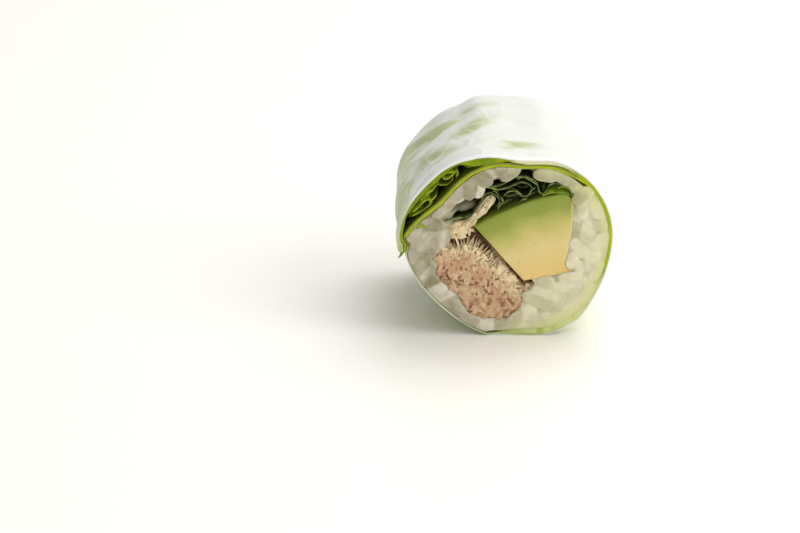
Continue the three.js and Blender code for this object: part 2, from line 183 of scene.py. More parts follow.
def left_normals(line, closed=False):
    """The directions square to a line, on its left."""
    if closed:
        run = np.roll(line, -1, axis=0) - np.roll(line, 1, axis=0)
    else:
        run = np.gradient(line, axis=0)
    run /= np.linalg.norm(run, axis=1, keepdims=True)
    return np.stack([-run[:, 1], run[:, 0]], axis=1)


def in_parts(work, places, most=2000):
    """Works on so many places at a time at most, to spare memory, and joins the results."""
    parts = np.array_split(places, len(places) // most + 1)
    return np.concatenate([work(part) for part in parts])


def nearest_on(points, outline):
    """For (n, 2) points: the nearest places on a closed outline and if the points are inside."""
    a = np.array(outline, float)
    run = np.roll(a, -1, axis=0) - a
    rise = np.where(run[:, 1] == 0, 1e-9, run[:, 1])

    def found(part):
        s = np.clip(((part[:, None] - a) * run).sum(2) / (run * run).sum(1), 0, 1)
        places = a + s[..., None] * run
        best = np.linalg.norm(part[:, None] - places, axis=2).argmin(axis=1)
        x, z = part[:, 0:1], part[:, 1:2]
        crosses = (a[:, 1] > z) != (np.roll(a, -1, axis=0)[:, 1] > z)
        inside = (crosses & (x < a[:, 0] + (z - a[:, 1]) / rise * run[:, 0])).sum(1) % 2
        return np.column_stack([places[np.arange(len(part)), best], inside])

    result = in_parts(found, points)
    return result[:, :2], result[:, 2] == 1


def clearance(points, outline):
    """How far (n, 2) points are inside an outline; negative outside."""
    places, inside = nearest_on(points, outline)
    distance = np.linalg.norm(points - places, axis=1)
    return np.where(inside, distance, -distance)


def away_from(points, line, half_width=0.0):
    """How far (n, 2) points are from the nearest point of a line as thick as twice half_width."""
    return in_parts(
        lambda part: (np.linalg.norm(part[:, None] - line, axis=2) - half_width).min(axis=1),
        points)


# ------------------------------------------------------------------ meshes
def add_piece(name, points, faces, material, replaces=(), attributes=None, crease=40):
    """A mesh piece of the roll, from points in mm."""
    mesh = bpy.data.meshes.new(name)
    mesh.from_pydata((np.asarray(points) * MM).tolist(), [], faces)
    for key, values in (attributes or {}).items():
        kind = "FLOAT" if np.ndim(values) == 1 else "FLOAT_VECTOR"
        made = mesh.attributes.new(key, kind, "POINT")
        field_name = "value" if kind == "FLOAT" else "vector"
        made.data.foreach_set(field_name, np.asarray(values, np.float32).ravel())
    mesh.shade_smooth()
    mesh.set_sharp_from_angle(angle=math.radians(crease))
    mesh.materials.append(material)
    piece = bpy.data.objects.new(name, mesh)
    bpy.context.scene.collection.objects.link(piece)
    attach(piece, "root")
    if replaces:
        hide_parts(*replaces)
    return piece


def joined(bodies):
    """Several bodies, each its points and faces, as one."""
    points, faces, start = [], [], 0
    for body_points, body_faces in bodies:
        points.append(body_points)
        faces += [[int(v) + start for v in face] for face in body_faces]
        start += len(body_points)
    return np.vstack(points), faces


def ring_quads(rows, count):
    """Quads between rings of count points each, front to back."""
    j, i = np.meshgrid(np.arange(rows - 1), np.arange(count), indexing="ij")
    a = j * count + i
    b = j * count + (i + 1) % count
    return np.stack([a, a + count, b + count, b], axis=-1).reshape(-1, 4).tolist()


def strip_caps(rows, count):
    """Quads over both ends of a thin strip whose ring goes out on one face, back on the other."""
    faces = []
    back = (rows - 1) * count
    for i in range(count // 2 - 1):
        end = count - 1 - i
        faces.append([i, i + 1, end - 1, end])
        faces.append([back + end, back + end - 1, back + i + 1, back + i])
    return faces


def strip_mesh(outer, inner):
    """A thin closed piece between two (rows, n, 3) faces."""
    rings = np.concatenate([inner, outer[:, ::-1]], axis=1)
    rows, count = rings.shape[:2]
    return rings.reshape(-1, 3), ring_quads(rows, count) + strip_caps(rows, count)


def filled_face(loops, spacing):
    """A flat region meshed evenly: new points inside it, and triangles over all its points."""
    rim_points = np.vstack(loops)
    edges, start = [], 0
    for loop in loops:
        count = len(loop)
        edges += [(start + i, start + (i + 1) % count) for i in range(count)]
        start += count
    low, high = rim_points.min(axis=0), rim_points.max(axis=0)
    xs, zs = np.arange(low[0], high[0], spacing), np.arange(low[1], high[1], spacing * 0.866)
    grid = field(*np.meshgrid(xs, zs, indexing="ij"))
    grid[:, ::2, 0] += spacing / 2
    grid = grid.reshape(-1, 2)
    free = clearance(grid, loops[0])
    for hole in loops[1:]:
        free = np.minimum(free, -clearance(grid, hole))
    grid = grid[free > 0.7 * spacing]
    places = np.vstack([rim_points, grid])
    _, _, triangles, origins, *_ = delaunay_2d_cdt(
        [Vector(place) for place in places], edges, [], 1, 1e-5)
    origin = np.array([came[0] for came in origins])
    triangles = origin[np.array([list(triangle) for triangle in triangles])]
    middles = places[triangles].mean(axis=1)
    kept = clearance(middles, loops[0]) > 0
    for hole in loops[1:]:
        kept &= clearance(middles, hole) < 0
    a, b, c = (places[triangles[:, k]] for k in range(3))
    turn = (b - a)[:, 0] * (c - a)[:, 1] - (b - a)[:, 1] * (c - a)[:, 0]
    triangles[turn < 0] = triangles[turn < 0][:, ::-1]
    return grid, triangles[kept]


def block(loops, y_values, spacing, shifts=None):
    """A closed body along the roll: a rim and any holes in section, its ends meshed evenly."""
    flat = np.vstack(loops)
    rows, count = len(y_values), len(flat)
    sections = flat[None] + (np.zeros((rows, count, 2)) if shifts is None else shifts)
    walls = field(sections[..., 0], np.asarray(y_values)[:, None], sections[..., 1])
    inner, triangles = filled_face(loops, spacing)
    ends = [field(inner[:, 0], y, inner[:, 1]) for y in (y_values[0], y_values[-1])]
    points = np.vstack([walls.reshape(-1, 3), *ends])
    faces, start = [], 0
    for loop in loops:
        size = len(loop)
        for row in range(rows - 1):
            near, far = row * count + start, (row + 1) * count + start
            for i in range(size):
                j = (i + 1) % size
                faces.append([near + i, far + i, far + j, near + j])
        start += size
    front = np.where(triangles < count, triangles, triangles + (rows - 1) * count)
    back = np.where(triangles < count, triangles + (rows - 1) * count,
                    triangles + (rows - 1) * count + len(inner))
    faces += front.tolist() + back[:, ::-1].tolist()
    return points, faces


# ------------------------------------------------------------------ materials
def linear(hex_colour):
    """An sRGB hex colour as linear red, green, blue and alpha."""
    parts = [int(hex_colour[k:k + 2], 16) / 255 for k in (0, 2, 4)]
    return [p / 12.92 if p <= 0.04045 else ((p + 0.055) / 1.055) ** 2.4 for p in parts] + [1.0]


def new_material(name):
    material = bpy.data.materials.new(name)
    material.use_nodes = True
    tree = material.node_tree
    tree.nodes.clear()
    return material, tree


def put(tree, kind, settings=None, out=None, **inputs):
    """Adds a node and gives back one of its outputs: out, or else the first that is in use.

    Settings are its own properties. Inputs are values or other nodes' outputs, by the socket's
    name, or by its number, as _0, where sockets share a name.
    """
    node = tree.nodes.new(kind)
    for key, value in (settings or {}).items():
        setattr(node, key, value)
    in_use = {socket.name: socket for socket in node.inputs if socket.enabled}
    for key, value in inputs.items():
        number = key[1:]
        socket = node.inputs[int(number)] if number.isdigit() else in_use[key.replace("_", " ")]
        if isinstance(value, bpy.types.NodeSocket):
            tree.links.new(value, socket)
        else:
            socket.default_value = value
    if out:
        return node.outputs[out]
    return next((socket for socket in node.outputs if socket.enabled), None)


# ------------------------------------------------------------------ the wrapped surface
RIM_STEPS = 900
LEAF_DOUBLE = (0.185, 0.212, 0.24, 0.268)  # in turns: starts, is double, thins out, single again
rim = spline(OUTLINE, True, RIM_STEPS)
rim[:, 1] = np.maximum(rim[:, 1], 0)
rim_normals = left_normals(rim, True)


def rim_at(turn):
    """The outline's place and outward direction so many turns from the free edge."""
    step = np.mod(turn, 1) * RIM_STEPS
    before = np.floor(step).astype(int) % RIM_STEPS
    share = (step - np.floor(step))[..., None]
    after = (before + 1) % RIM_STEPS
    place = rim[before] * (1 - share) + rim[after] * share
    normal = rim_normals[before] * (1 - share) + rim_normals[after] * share
    return place, normal / np.linalg.norm(normal, axis=-1, keepdims=True)


def swell(turn, y):
    """How far the wrapping stands out of the plain outline: the barrel, and creases in it."""
    place, _ = rim_at(turn)
    x, z = place[..., 0], place[..., 1]
    free = smoothstep(0.5, 8, z)
    turn = np.mod(turn, 1)
    round_mm = turn * AROUND
    barrel = BARREL * (1 - (y / HALF) ** 2)
    ripple = 0.28 * np.sin(2 * math.pi * (3 * turn + y / 41)) * np.cos(y / 9)
    along, across = slanted(round_mm, y)
    creases = 0.34 * noise(field(along / 17, across / 5.5, 0.3), 21)
    flare = FLARE * bell(turn, 0.51, 0.05) * bell(y, -14, 10)
    rise = BACK_RISE * smoothstep(34, 45, z) * between(x, -11, -5, 8, 18)
    drop = BACK_DROP * bell(turn, 0.44, 0.045)
    return free * (barrel + ripple + creases + flare) + (rise - drop) * (0.5 + y / ROLL_LENGTH)


def slanted(round_mm, y):
    """Distances along and across the leaf's folds, which run round and towards the front."""
    lean = 0.87
    length = 1.33
    return (round_mm - lean * y) / length, (lean * round_mm + y) / length


def wrapped(turn, depth, y):
    """Points (mm) at a place round the roll, so deep under its outside, at station y."""
    turn, depth, y = np.broadcast_arrays(turn, depth, y)
    place, normal = rim_at(turn)
    out = swell(turn, y) - depth
    return field(place[..., 0] + normal[..., 0] * out, y, place[..., 1] + normal[..., 1] * out)


def pocket_depth(turn):
    """How far the inner end of the sheet dips down there, round the folded leaf."""
    s = np.clip((np.asarray(turn) - POCKET_FROM) / (POCKET_TO - POCKET_FROM), 0, 1)
    skewed = s ** (math.log(0.5) / math.log(POCKET_PEAK))
    return POCKET_DEPTH * np.sin(math.pi * skewed) ** 1.5


def sheet_depth(turn):
    """How deep the paper lies under the roll's outside, up to its inner end past one turn."""
    under = smoothstep(TUCK, 1, turn) * (PAPER + LEAF + 2 * GAP)
    return under + pocket_depth(np.asarray(turn) - 1) + hook(np.asarray(turn) - 1)


def hook(turn):
    """At the free edge the leaf's end bends in and out again, and pushes what is under it."""
    return 1.2 * bell(turn, 0.012, 0.0125)


def under_sheet(turn):
    """The depth at which what lies under the paper starts."""
    return sheet_depth(turn) + PAPER + GAP


def folded_over(turn):
    """From 0 to 1 where the outer leaf lies double at the upper end of the pocket."""
    return between(turn, *LEAF_DOUBLE)


def rib_thickness(turn):
    """How much thicker the leaf is where a rib of it shows, low on the right."""
    patch = 0.45 * bell(turn, 0.585, 0.012)
    return patch + 0.75 * smoothstep(0.61, 0.67, turn) * falling(0.72, 0.8, turn)


def ring_depth(turn):
    """How deep the rice starts, under every sheet that passes there."""
    turn = np.mod(turn, 1)
    over = turn + 1
    leaf = np.where(turn <= LETTUCE[1], LEAF + GAP + rib_thickness(turn), 0)
    plain = under_sheet(turn) + leaf
    inner = under_sheet(over) + np.where(over >= INNER_LETTUCE[0], LEAF + GAP, 0)
    return np.where(over <= INNER_LETTUCE[1], np.maximum(inner, plain), plain)


def rice_outline(y, extra=0.0, steps=180):
    """The room for rice in section at station y, anticlockwise."""
    turn = np.arange(steps, 0, -1) / steps
    return wrapped(turn, ring_depth(turn) + extra, y)[:, [0, 2]]


# ------------------------------------------------------------------ veins and contact
def leaf_veins():
    """The veins of the leaf under the paper: lines in (mm round, mm along) and half widths."""
    random = np.random.default_rng(8)
    rib = spline([(-8, -26), (34, -14), (74, 3), (126, 20)], False, 40)
    veins = [(rib, 1.15)]
    for k in range(2, 38, 3):
        heading = math.atan2(*(rib[k + 1] - rib[k - 1])[::-1])
        for side in (-1, 1):
            vein = wandering(rib[k], heading + side * random.uniform(0.75, 1.1), -side * 0.03,
                             random.uniform(26, 38), random)
            veins.append((vein, 0.62))
            for m in range(3, len(vein) - 3, random.integers(3, 6)):
                turned = math.atan2(*(vein[m + 1] - vein[m - 1])[::-1])
                way = random.choice((-1, 1))
                twig = wandering(vein[m], turned + way * random.uniform(0.6, 1.0), -way * 0.05,
                                 random.uniform(5, 11), random)
                veins.append((twig, 0.36))
    return veins


def wandering(start, heading, bend, length, random):
    """A vein's line: it leaves at a heading and bends on as it goes."""
    count = max(int(length / 1.5), 4)
    line = [np.array(start)]
    for _ in range(count):
        heading += bend + random.normal(0, 0.1)
        line.append(line[-1] + 1.5 * np.array([math.cos(heading), math.sin(heading)]))
    return np.array(line)


def vein_strength(round_mm, along_mm):
    """From 0 off the veins to 1 on their middle."""
    points = np.stack([np.ravel(round_mm), np.ravel(along_mm)], axis=1)
    strength = np.zeros(len(points))
    for line, half_width in leaf_veins():
        low, high = line.min(axis=0) - 3 * half_width, line.max(axis=0) + 3 * half_width
        near = np.flatnonzero(((points > low) & (points < high)).all(axis=1))
        if len(near) == 0:
            continue
        best = np.full(len(near), np.inf)
        for a, b in zip(line, line[1:]):
            to, run = points[near] - a, b - a
            s = np.clip((to @ run) / (run @ run), 0, 1)
            best = np.minimum(best, ((to - s[:, None] * run) ** 2).sum(axis=1))
        strength[near] = np.maximum(strength[near], np.exp(-best / (2 * (half_width * 0.6) ** 2)))
    return strength.reshape(np.shape(round_mm))


# ------------------------------------------------------------------ finishes
COLOUR_MIX = ("ShaderNodeMix", {"data_type": "RGBA"})


def per_mm(size):
    """The scale of a pattern whose lumps are so many mm apart."""
    return 1 / (size * MM)


def film_material():
    """Soaked rice paper: a cooked starch film, steamed, dried and wetted again.

    It is a milky, moist skin. Where it clings to the leaf the green comes through, and where air
    is caught it stays white. Its wet surface has a broad soft gloss with fine drawn streaks.
    """
    material, tree = new_material("rice_paper_soaked_film")
    green, vein, under, painted_edge_light = (
        put(tree, "ShaderNodeAttribute", {"attribute_name": name}, out="Fac")
        for name in ("green", "vein", "under", "painted_edge_light")
    )
    unrolled = put(tree, "ShaderNodeAttribute", {"attribute_name": "unrolled"}, out="Vector")
    mottle = put(tree, "ShaderNodeTexNoise", Vector=unrolled, Scale=per_mm(2.2), Detail=4.0,
                 Roughness=0.6)
    drawn = put(tree, "ShaderNodeMapping", Vector=unrolled, Scale=(1, 6.5, 1),
                Rotation=(0, 0, 0.3))
    streak = put(tree, "ShaderNodeTexNoise", Vector=drawn, Scale=per_mm(5.0), Detail=5.0,
                 Roughness=0.62)
    clinging = put(tree, "ShaderNodeMath", {"operation": "MULTIPLY_ADD"}, _0=streak, _1=0.8,
                   _2=green)
    clinging = put(tree, "ShaderNodeMapRange", {"interpolation_type": "SMOOTHSTEP"},
                   Value=clinging, From_Min=0.55, From_Max=1.3)
    milky = put(tree, *COLOUR_MIX, Factor=mottle, A=linear("dcdfd0"), B=linear("eef0e6"))
    leafy = put(tree, *COLOUR_MIX, Factor=mottle, A=linear("9fac62"), B=linear("bcc68c"))
    colour = put(tree, *COLOUR_MIX, Factor=clinging, A=milky, B=leafy)
    on_vein = put(tree, "ShaderNodeMath", {"operation": "MULTIPLY"}, _0=vein, _1=0.4)
    # Paler veins, then the under tint, a dark olive: the leaf under the film, with painted shade
    # where the film lies in the pocket and low on the left; then painted light along the cuts.
    for share, hex_colour in ((on_vein, "eff0de"), (under, "7c8618"), (painted_edge_light, "f8f9f0")):
        colour = put(tree, *COLOUR_MIX, Factor=share, A=colour, B=linear(hex_colour))
    rough = put(tree, "ShaderNodeMapRange", Value=streak, From_Min=0.3, From_Max=0.7,
                To_Min=0.28, To_Max=0.5)
    fine = put(tree, "ShaderNodeBump", Height=streak, Strength=0.5, Distance=0.25 * MM)
    skin = put(tree, "ShaderNodeBump", Height=mottle, Strength=0.25, Distance=0.12 * MM,
               Normal=fine)
    surface = put(tree, "ShaderNodeBsdfPrincipled", Base_Color=colour, Roughness=rough, IOR=1.4,
                  Subsurface_Weight=0.45, Subsurface_Radius=(1.0, 1.0, 0.7),
                  Subsurface_Scale=1.2 * MM, Coat_Weight=0.35, Coat_Roughness=0.22, Normal=skin)
    put(tree, "ShaderNodeOutputMaterial", Surface=surface)
    return material


def leaf_material(name, blade, shaded, pale, cut_edge, net_shows=0.12):
    """A fresh leaf: a waxy blade over wet tissue, with a net of small veins.

    Its blade takes a soft sheen, its veins and ribs are paler, and its thin cut edge is bright,
    because light runs along inside the leaf and comes out there.
    """
    material, tree = new_material(name)
    place = put(tree, "ShaderNodeTexCoord", out="Object")
    pale_part, edge_part = (
        put(tree, "ShaderNodeAttribute", {"attribute_name": name}, out="Fac")
        for name in ("pale", "edge")
    )
    patches = put(tree, "ShaderNodeTexNoise", Vector=place, Scale=per_mm(3.2), Detail=4.0,
                  Roughness=0.6)
    patchy = put(tree, "ShaderNodeMapRange", Value=patches, From_Min=0.35, From_Max=0.65)
    bent = put(tree, "ShaderNodeVectorMath", {"operation": "MULTIPLY_ADD"},
               _0=patches.node.outputs["Color"], _1=(1.2 * MM, 1.2 * MM, 1.2 * MM), _2=place)
    net = put(tree, "ShaderNodeTexVoronoi", {"feature": "DISTANCE_TO_EDGE"}, Vector=bent,
              Scale=per_mm(1.7))
    veined = put(tree, "ShaderNodeMapRange", Value=net, From_Min=0.02, From_Max=0.12,
                 To_Min=net_shows, To_Max=0.0)
    colour = linear(shaded)
    for share, hex_colour in ((patchy, blade), (veined, pale), (pale_part, pale),
                              (edge_part, cut_edge)):
        colour = put(tree, *COLOUR_MIX, Factor=share, A=colour, B=linear(hex_colour))
    raised = put(tree, "ShaderNodeBump", Height=veined, Strength=0.4, Distance=0.2 * MM)
    blistered = put(tree, "ShaderNodeBump", Height=patches, Strength=0.4, Distance=0.5 * MM,
                    Normal=raised)
    surface = put(tree, "ShaderNodeBsdfPrincipled", Base_Color=colour, Roughness=0.42, IOR=1.42,
                  Subsurface_Weight=0.3, Subsurface_Radius=(0.9, 1.0, 0.15),
                  Subsurface_Scale=0.6 * MM, Specular_IOR_Level=0.15, Normal=blistered)
    put(tree, "ShaderNodeOutputMaterial", Surface=surface)
    return material


def rice_material():
    """Cooked sushi rice: swollen starch, wet and sticky.

    Light goes deep into a grain, so shadows between grains are soft and the outside is pearly,
    with a few whiter clouds inside and a moist gloss. Painted into its colour are shade near the
    herbs and in the seams between grains, and a yellow-green tint near the wrapping, partly the
    leaf's colour and partly painted glow.
    """
    material, tree = new_material("rice_steamed_grains")
    place = put(tree, "ShaderNodeTexCoord", out="Object")
    leafward, tone, seam, painted_herb_shade = (
        put(tree, "ShaderNodeAttribute", {"attribute_name": name}, out="Fac")
        for name in ("leafward", "tone", "seam", "painted_herb_shade")
    )
    cloud = put(tree, "ShaderNodeTexNoise", Vector=place, Scale=per_mm(2.6), Detail=3.0,
                Roughness=0.55)
    cloudy = put(tree, "ShaderNodeMapRange", Value=cloud, From_Min=0.35, From_Max=0.68)
    whiter = put(tree, "ShaderNodeMath", {"operation": "MULTIPLY_ADD", "use_clamp": True},
                 _0=cloudy, _1=0.35, _2=tone)
    # The seams between grains are darkened: painted shade in the creases where grains meet.
    painted_seam_shade = put(tree, "ShaderNodeMath", {"operation": "MULTIPLY"}, _0=seam, _1=0.5)
    colour = linear("938b66")
    for share, hex_colour in ((whiter, "ede5d2"), (leafward, "e2e29e"), (painted_herb_shade, "5c6344"),
                              (painted_seam_shade, "b3ae8c")):
        colour = put(tree, *COLOUR_MIX, Factor=share, A=colour, B=linear(hex_colour))
    wet = put(tree, "ShaderNodeTexNoise", Vector=place, Scale=per_mm(0.9), Detail=3.0)
    skin = put(tree, "ShaderNodeBump", Height=wet, Strength=0.3, Distance=0.15 * MM)
    rough = put(tree, "ShaderNodeMapRange", Value=wet, From_Min=0.3, From_Max=0.7, To_Min=0.22,
                To_Max=0.42)
    surface = put(tree, "ShaderNodeBsdfPrincipled", Base_Color=colour, Roughness=rough, IOR=1.42,
                  Subsurface_Weight=0.8, Subsurface_Radius=(1.0, 0.95, 0.75),
                  Subsurface_Scale=2.2 * MM, Coat_Weight=0.2, Coat_Roughness=0.18, Normal=skin)
    put(tree, "ShaderNodeOutputMaterial", Surface=surface)
    return material


def avocado_material():
    """Ripe avocado, cut with a knife: dense, buttery flesh.

    It is green under the skin and turns butter yellow inwards. The cut is smooth and slightly
    greasy, so it shows a broad dull sheen, faint knife lines and small tan specks.
    """
    material, tree = new_material("avocado_cut_flesh")
    place = put(tree, "ShaderNodeTexCoord", out="Object")
    depth, side, ripe = (
        put(tree, "ShaderNodeAttribute", {"attribute_name": name}, out="Fac")
        for name in ("depth_from_skin", "side", "ripe")
    )
    drift = put(tree, "ShaderNodeTexNoise", Vector=place, Scale=per_mm(6.0), Detail=4.0,
                Roughness=0.6)
    deep = put(tree, "ShaderNodeMath", {"operation": "MULTIPLY_ADD"}, _0=drift, _1=5.0, _2=depth)
    bands = put(tree, "ShaderNodeMapRange", Value=deep, From_Min=1.5, From_Max=27.5)
    colour = put(tree, "ShaderNodeValToRGB", Fac=bands)
    # The first stop, at the very skin edge, is lighter than the next: painted light on the wedge's
    # top edge, against the shade of the leaves above it.
    from_skin_inwards = [
        (0.0, "a4b84c"), (0.05, "8d9e34"), (0.16, "9aa43e"), (0.27, "c0be62"), (0.38, "dccc80"),
        (0.5, "e8d592"), (0.76, "eed080"), (1.0, "e8bc6a"),
    ]
    stops = colour.node.color_ramp.elements
    for _ in range(len(from_skin_inwards) - len(stops)):
        stops.new(0.5)
    for stop, (at, hex_colour) in zip(stops, from_skin_inwards):
        stop.position = at
        stop.color = linear(hex_colour)
    specks = put(tree, "ShaderNodeTexVoronoi", Vector=place, Scale=per_mm(3.1))
    speck = put(tree, "ShaderNodeMapRange", Value=specks, From_Min=0.05, From_Max=0.13,
                To_Min=0.4, To_Max=0.0)
    for share, hex_colour in ((speck, "b8995a"), (side, "dcdcae"), (ripe, "b98c3c")):
        colour = put(tree, *COLOUR_MIX, Factor=share, A=colour, B=linear(hex_colour))
    knife = put(tree, "ShaderNodeMapping", Vector=place, Scale=(1, 1, 9), Rotation=(0, 0.35, 0))
    lines = put(tree, "ShaderNodeTexNoise", Vector=knife, Scale=per_mm(7.0), Detail=4.0,
                Roughness=0.6)
    drawn = put(tree, "ShaderNodeBump", Height=lines, Strength=0.25, Distance=0.2 * MM)
    pits = put(tree, "ShaderNodeTexNoise", Vector=place, Scale=per_mm(0.8), Detail=3.0)
    pitted = put(tree, "ShaderNodeBump", Height=pits, Strength=0.2, Distance=0.1 * MM,
                 Normal=drawn)
    surface = put(tree, "ShaderNodeBsdfPrincipled", Base_Color=colour, Roughness=0.42, IOR=1.45,
                  Subsurface_Weight=0.4, Subsurface_Radius=(1.0, 0.8, 0.3),
                  Subsurface_Scale=1.5 * MM, Coat_Weight=0.12, Coat_Roughness=0.3,
                  Normal=pitted)
    put(tree, "ShaderNodeOutputMaterial", Surface=surface)
    return material


def tuna_material():
    """Tuna cooked in the can and flaked: bundles of dry fibre in a little oil.

    Fibres are cream at their tips and pinkish tan along their sides, with brown specks; they are
    painted darker brown where they lie deep, in the slots and by the avocado, as painted shade,
    and only their ridges glisten.
    """
    material, tree = new_material("tuna_cooked_flakes")
    place = put(tree, "ShaderNodeTexCoord", out="Object")
    tone, depth = (
        put(tree, "ShaderNodeAttribute", {"attribute_name": name}, out="Fac")
        for name in ("tone", "depth")
    )
    mottle = put(tree, "ShaderNodeTexNoise", Vector=place, Scale=per_mm(1.3), Detail=5.0,
                 Roughness=0.65)
    mixed = put(tree, "ShaderNodeMath", {"operation": "MULTIPLY_ADD"}, _0=mottle, _1=0.7, _2=tone)
    mixed = put(tree, "ShaderNodeMath", {"operation": "SUBTRACT", "use_clamp": True}, _0=mixed,
                _1=0.35)
    colour = linear("cda480")
    # The depth attribute darkens to brown: brown specks, and painted shade in the recesses, the
    # slots and by the avocado.
    for share, hex_colour in ((mixed, "efdcb0"), (depth, "643c14")):
        colour = put(tree, *COLOUR_MIX, Factor=share, A=colour, B=linear(hex_colour))
    fibre = put(tree, "ShaderNodeTexNoise", Vector=place, Scale=per_mm(0.4), Detail=3.0)
    raised = put(tree, "ShaderNodeBump", Height=fibre, Strength=0.6, Distance=0.2 * MM)
    surface = put(tree, "ShaderNodeBsdfPrincipled", Base_Color=colour, Roughness=0.5, IOR=1.44,
                  Subsurface_Weight=0.3, Subsurface_Radius=(1.0, 0.6, 0.35),
                  Subsurface_Scale=0.7 * MM, Coat_Weight=0.1, Coat_Roughness=0.3, Normal=raised)
    put(tree, "ShaderNodeOutputMaterial", Surface=surface)
    return material


# ------------------------------------------------------------------ sheets wound round the roll
# Places round the roll, in turns from the free edge: where a change in the paper or in the leaf
# under it starts, is full, fades and has ended.
PALE_RIM = (0.05, 0.12, 0.66, 0.74)
PALE_RIM_BELOW = (0.8, 0.85, 0.99, 1.0)
WHITE_TOP = (0.2, 0.3, 0.5, 0.6)
LEAF_IN_POCKET = (0.06, 0.1, 0.16, 0.2)
LEAF_THICK_ON_TOP = (0.26, 0.3, 0.41, 0.45)
LEAF_THICK_ON_RIGHT = (0.36, 0.42, 0.76, 0.8)
LEAF_DRAWN_THIN = (0.4, 0.44, 0.5, 0.55)
LEAF_PALE_ON_TOP = (0.262, 0.28, 0.35, 0.4)


def along_roll(rows):
    """Shares from 0 to 1 from cut to cut, closer together near the cuts."""
    even = np.linspace(-1, 1, rows)
    return 0.5 + 0.5 * np.sin(even * 0.3 * math.pi) / math.sin(0.3 * math.pi)


def cut_stations(round_mm, rows, inset, ragged, seed):
    """The y of every point of a sheet whose two cut edges wander a little."""
    wander = [
        0.6 * noise(field(round_mm / 5, k, 0.5), seed)
        + 0.4 * noise(field(round_mm / 1.3, k, 5), seed)
        for k in (1, 2)
    ]
    front = -HALF + inset + ragged * wander[0]
    back = HALF - inset + ragged * wander[1]
    return front + (back - front) * along_roll(rows)[:, None]


def both_faces(outer_values, inner_values=None):
    """Values of a strip's points, in the order that strip_mesh puts them."""
    if inner_values is None:
        inner_values = outer_values
    outer_values, inner_values = np.broadcast_arrays(outer_values, inner_values)
    rings = np.concatenate([inner_values, outer_values[:, ::-1]], axis=1)
    return rings.reshape(-1, *rings.shape[2:])


def from_nearest_cut(y):
    return HALF - np.abs(y)


def from_ends(turns, first, last):
    """How far, in mm round the roll, places are from the nearer end of a leaf."""
    return np.minimum(turns - first, last - turns) * AROUND


def add_rice_paper(material):
    rows, columns = 64, 480
    even = np.linspace(0, WRAPPER_END, columns)
    y = cut_stations(even * AROUND, rows, 0.05, 0.22, 41)
    behind_cut = from_nearest_cut(y)
    free_edge = 0.006 * noise(field(y / 7, 0.2, 0.4), 42) * np.exp(-even / 0.02)
    turns = even + free_edge
    round_mm = np.mod(turns, 1) * AROUND
    along, across = slanted(round_mm, y)
    veins = vein_strength(round_mm, y) * (turns < 1) * vein_share(turns)
    drawn = noise(field(along / 8, across / 0.9, 0.7), 43)
    pebbled = noise(field(round_mm / 1.4, y / 1.4, 0.1), 44)
    at_cut = smoothstep(0.2, 2.5, behind_cut)
    relief = at_cut * (0.2 * veins + 0.05 * drawn + 0.02 * pebbled)
    depth = sheet_depth(turns)
    outer = wrapped(turns, depth - np.maximum(relief, -0.1), y)
    outer[..., 2] = np.maximum(outer[..., 2], 0)
    beaded = 0.85 * hook(turns) * (turns < 0.1)
    inner = wrapped(turns, depth + PAPER + beaded, y)
    points, faces = strip_mesh(outer, inner)
    rim_side = between(turns, *PALE_RIM) + 0.4 * between(turns, *PALE_RIM_BELOW)
    # Along both cuts, on the sides, the film is painted whiter: painted light where its thin
    # rounded edge catches and passes light.
    painted_edge_light = 0.8 * rim_side * falling(0.3, 2.4, behind_cut)
    # Low on the left the film is tinted dark olive: partly the leaf under it, partly painted shade
    # and a painted green reflection on that side.
    outside = 0.58 * on_left(turns) * (turns < 1) * smoothstep(0.3, 1.2, behind_cut)
    outside = outside * (0.8 + 0.7 * noise(field(along / 9, across / 2.6, 0.6), 45))
    add_piece("rice_paper", points, faces, material, ["rice_paper"], {
        "green": both_faces(green_share(turns, y)),
        "vein": both_faces(veins, 0 * veins),
        # Past one turn, in the pocket, the same dark olive: the inner leaf under the film,
        # darkened as painted shade of the pocket.
        "under": both_faces(np.maximum(turns > 1.01, outside), np.maximum(turns > 1.0, outside)),
        "painted_edge_light": both_faces(painted_edge_light),
        "unrolled": both_faces(field(turns * AROUND * MM, y * MM, 0.0)),
    })


def vein_share(turns):
    """The veins stand out at the sides and underneath, and hardly on the white top."""
    return 1 - 0.92 * between(turns, *WHITE_TOP)


# Where the leaf clings to the paper on top: mm round and along to its middle, its heading, its
# half length and half width, and how strongly it shows.
CLINGING_SPOTS = [
    (23.7, 8.0, 0.0, 8.5, 4.6, 1.0),
    (32.0, -0.5, 0.8, 8.8, 4.2, 0.85),
    (21.0, -9.0, -0.65, 9.5, 4.4, 0.95),
    (43.0, -15.3, 0.1, 6.5, 3.4, 0.75),
    (12.0, 11.0, 0.5, 11.0, 5.0, 1.0),
    (33.0, 13.0, 0.3, 8.0, 2.8, 0.6),
    (60.0, 2.0, 0.5, 8.0, 2.4, 0.45),
]


def on_left(turns):
    """From 0 to 1 low on the left, where the leaf shows most through the paper and where painted
    shade darkens the wrapping.
    """
    turn = np.mod(turns, 1)
    return np.maximum(falling(0.03, 0.1, turn), smoothstep(0.84, 0.93, turn))


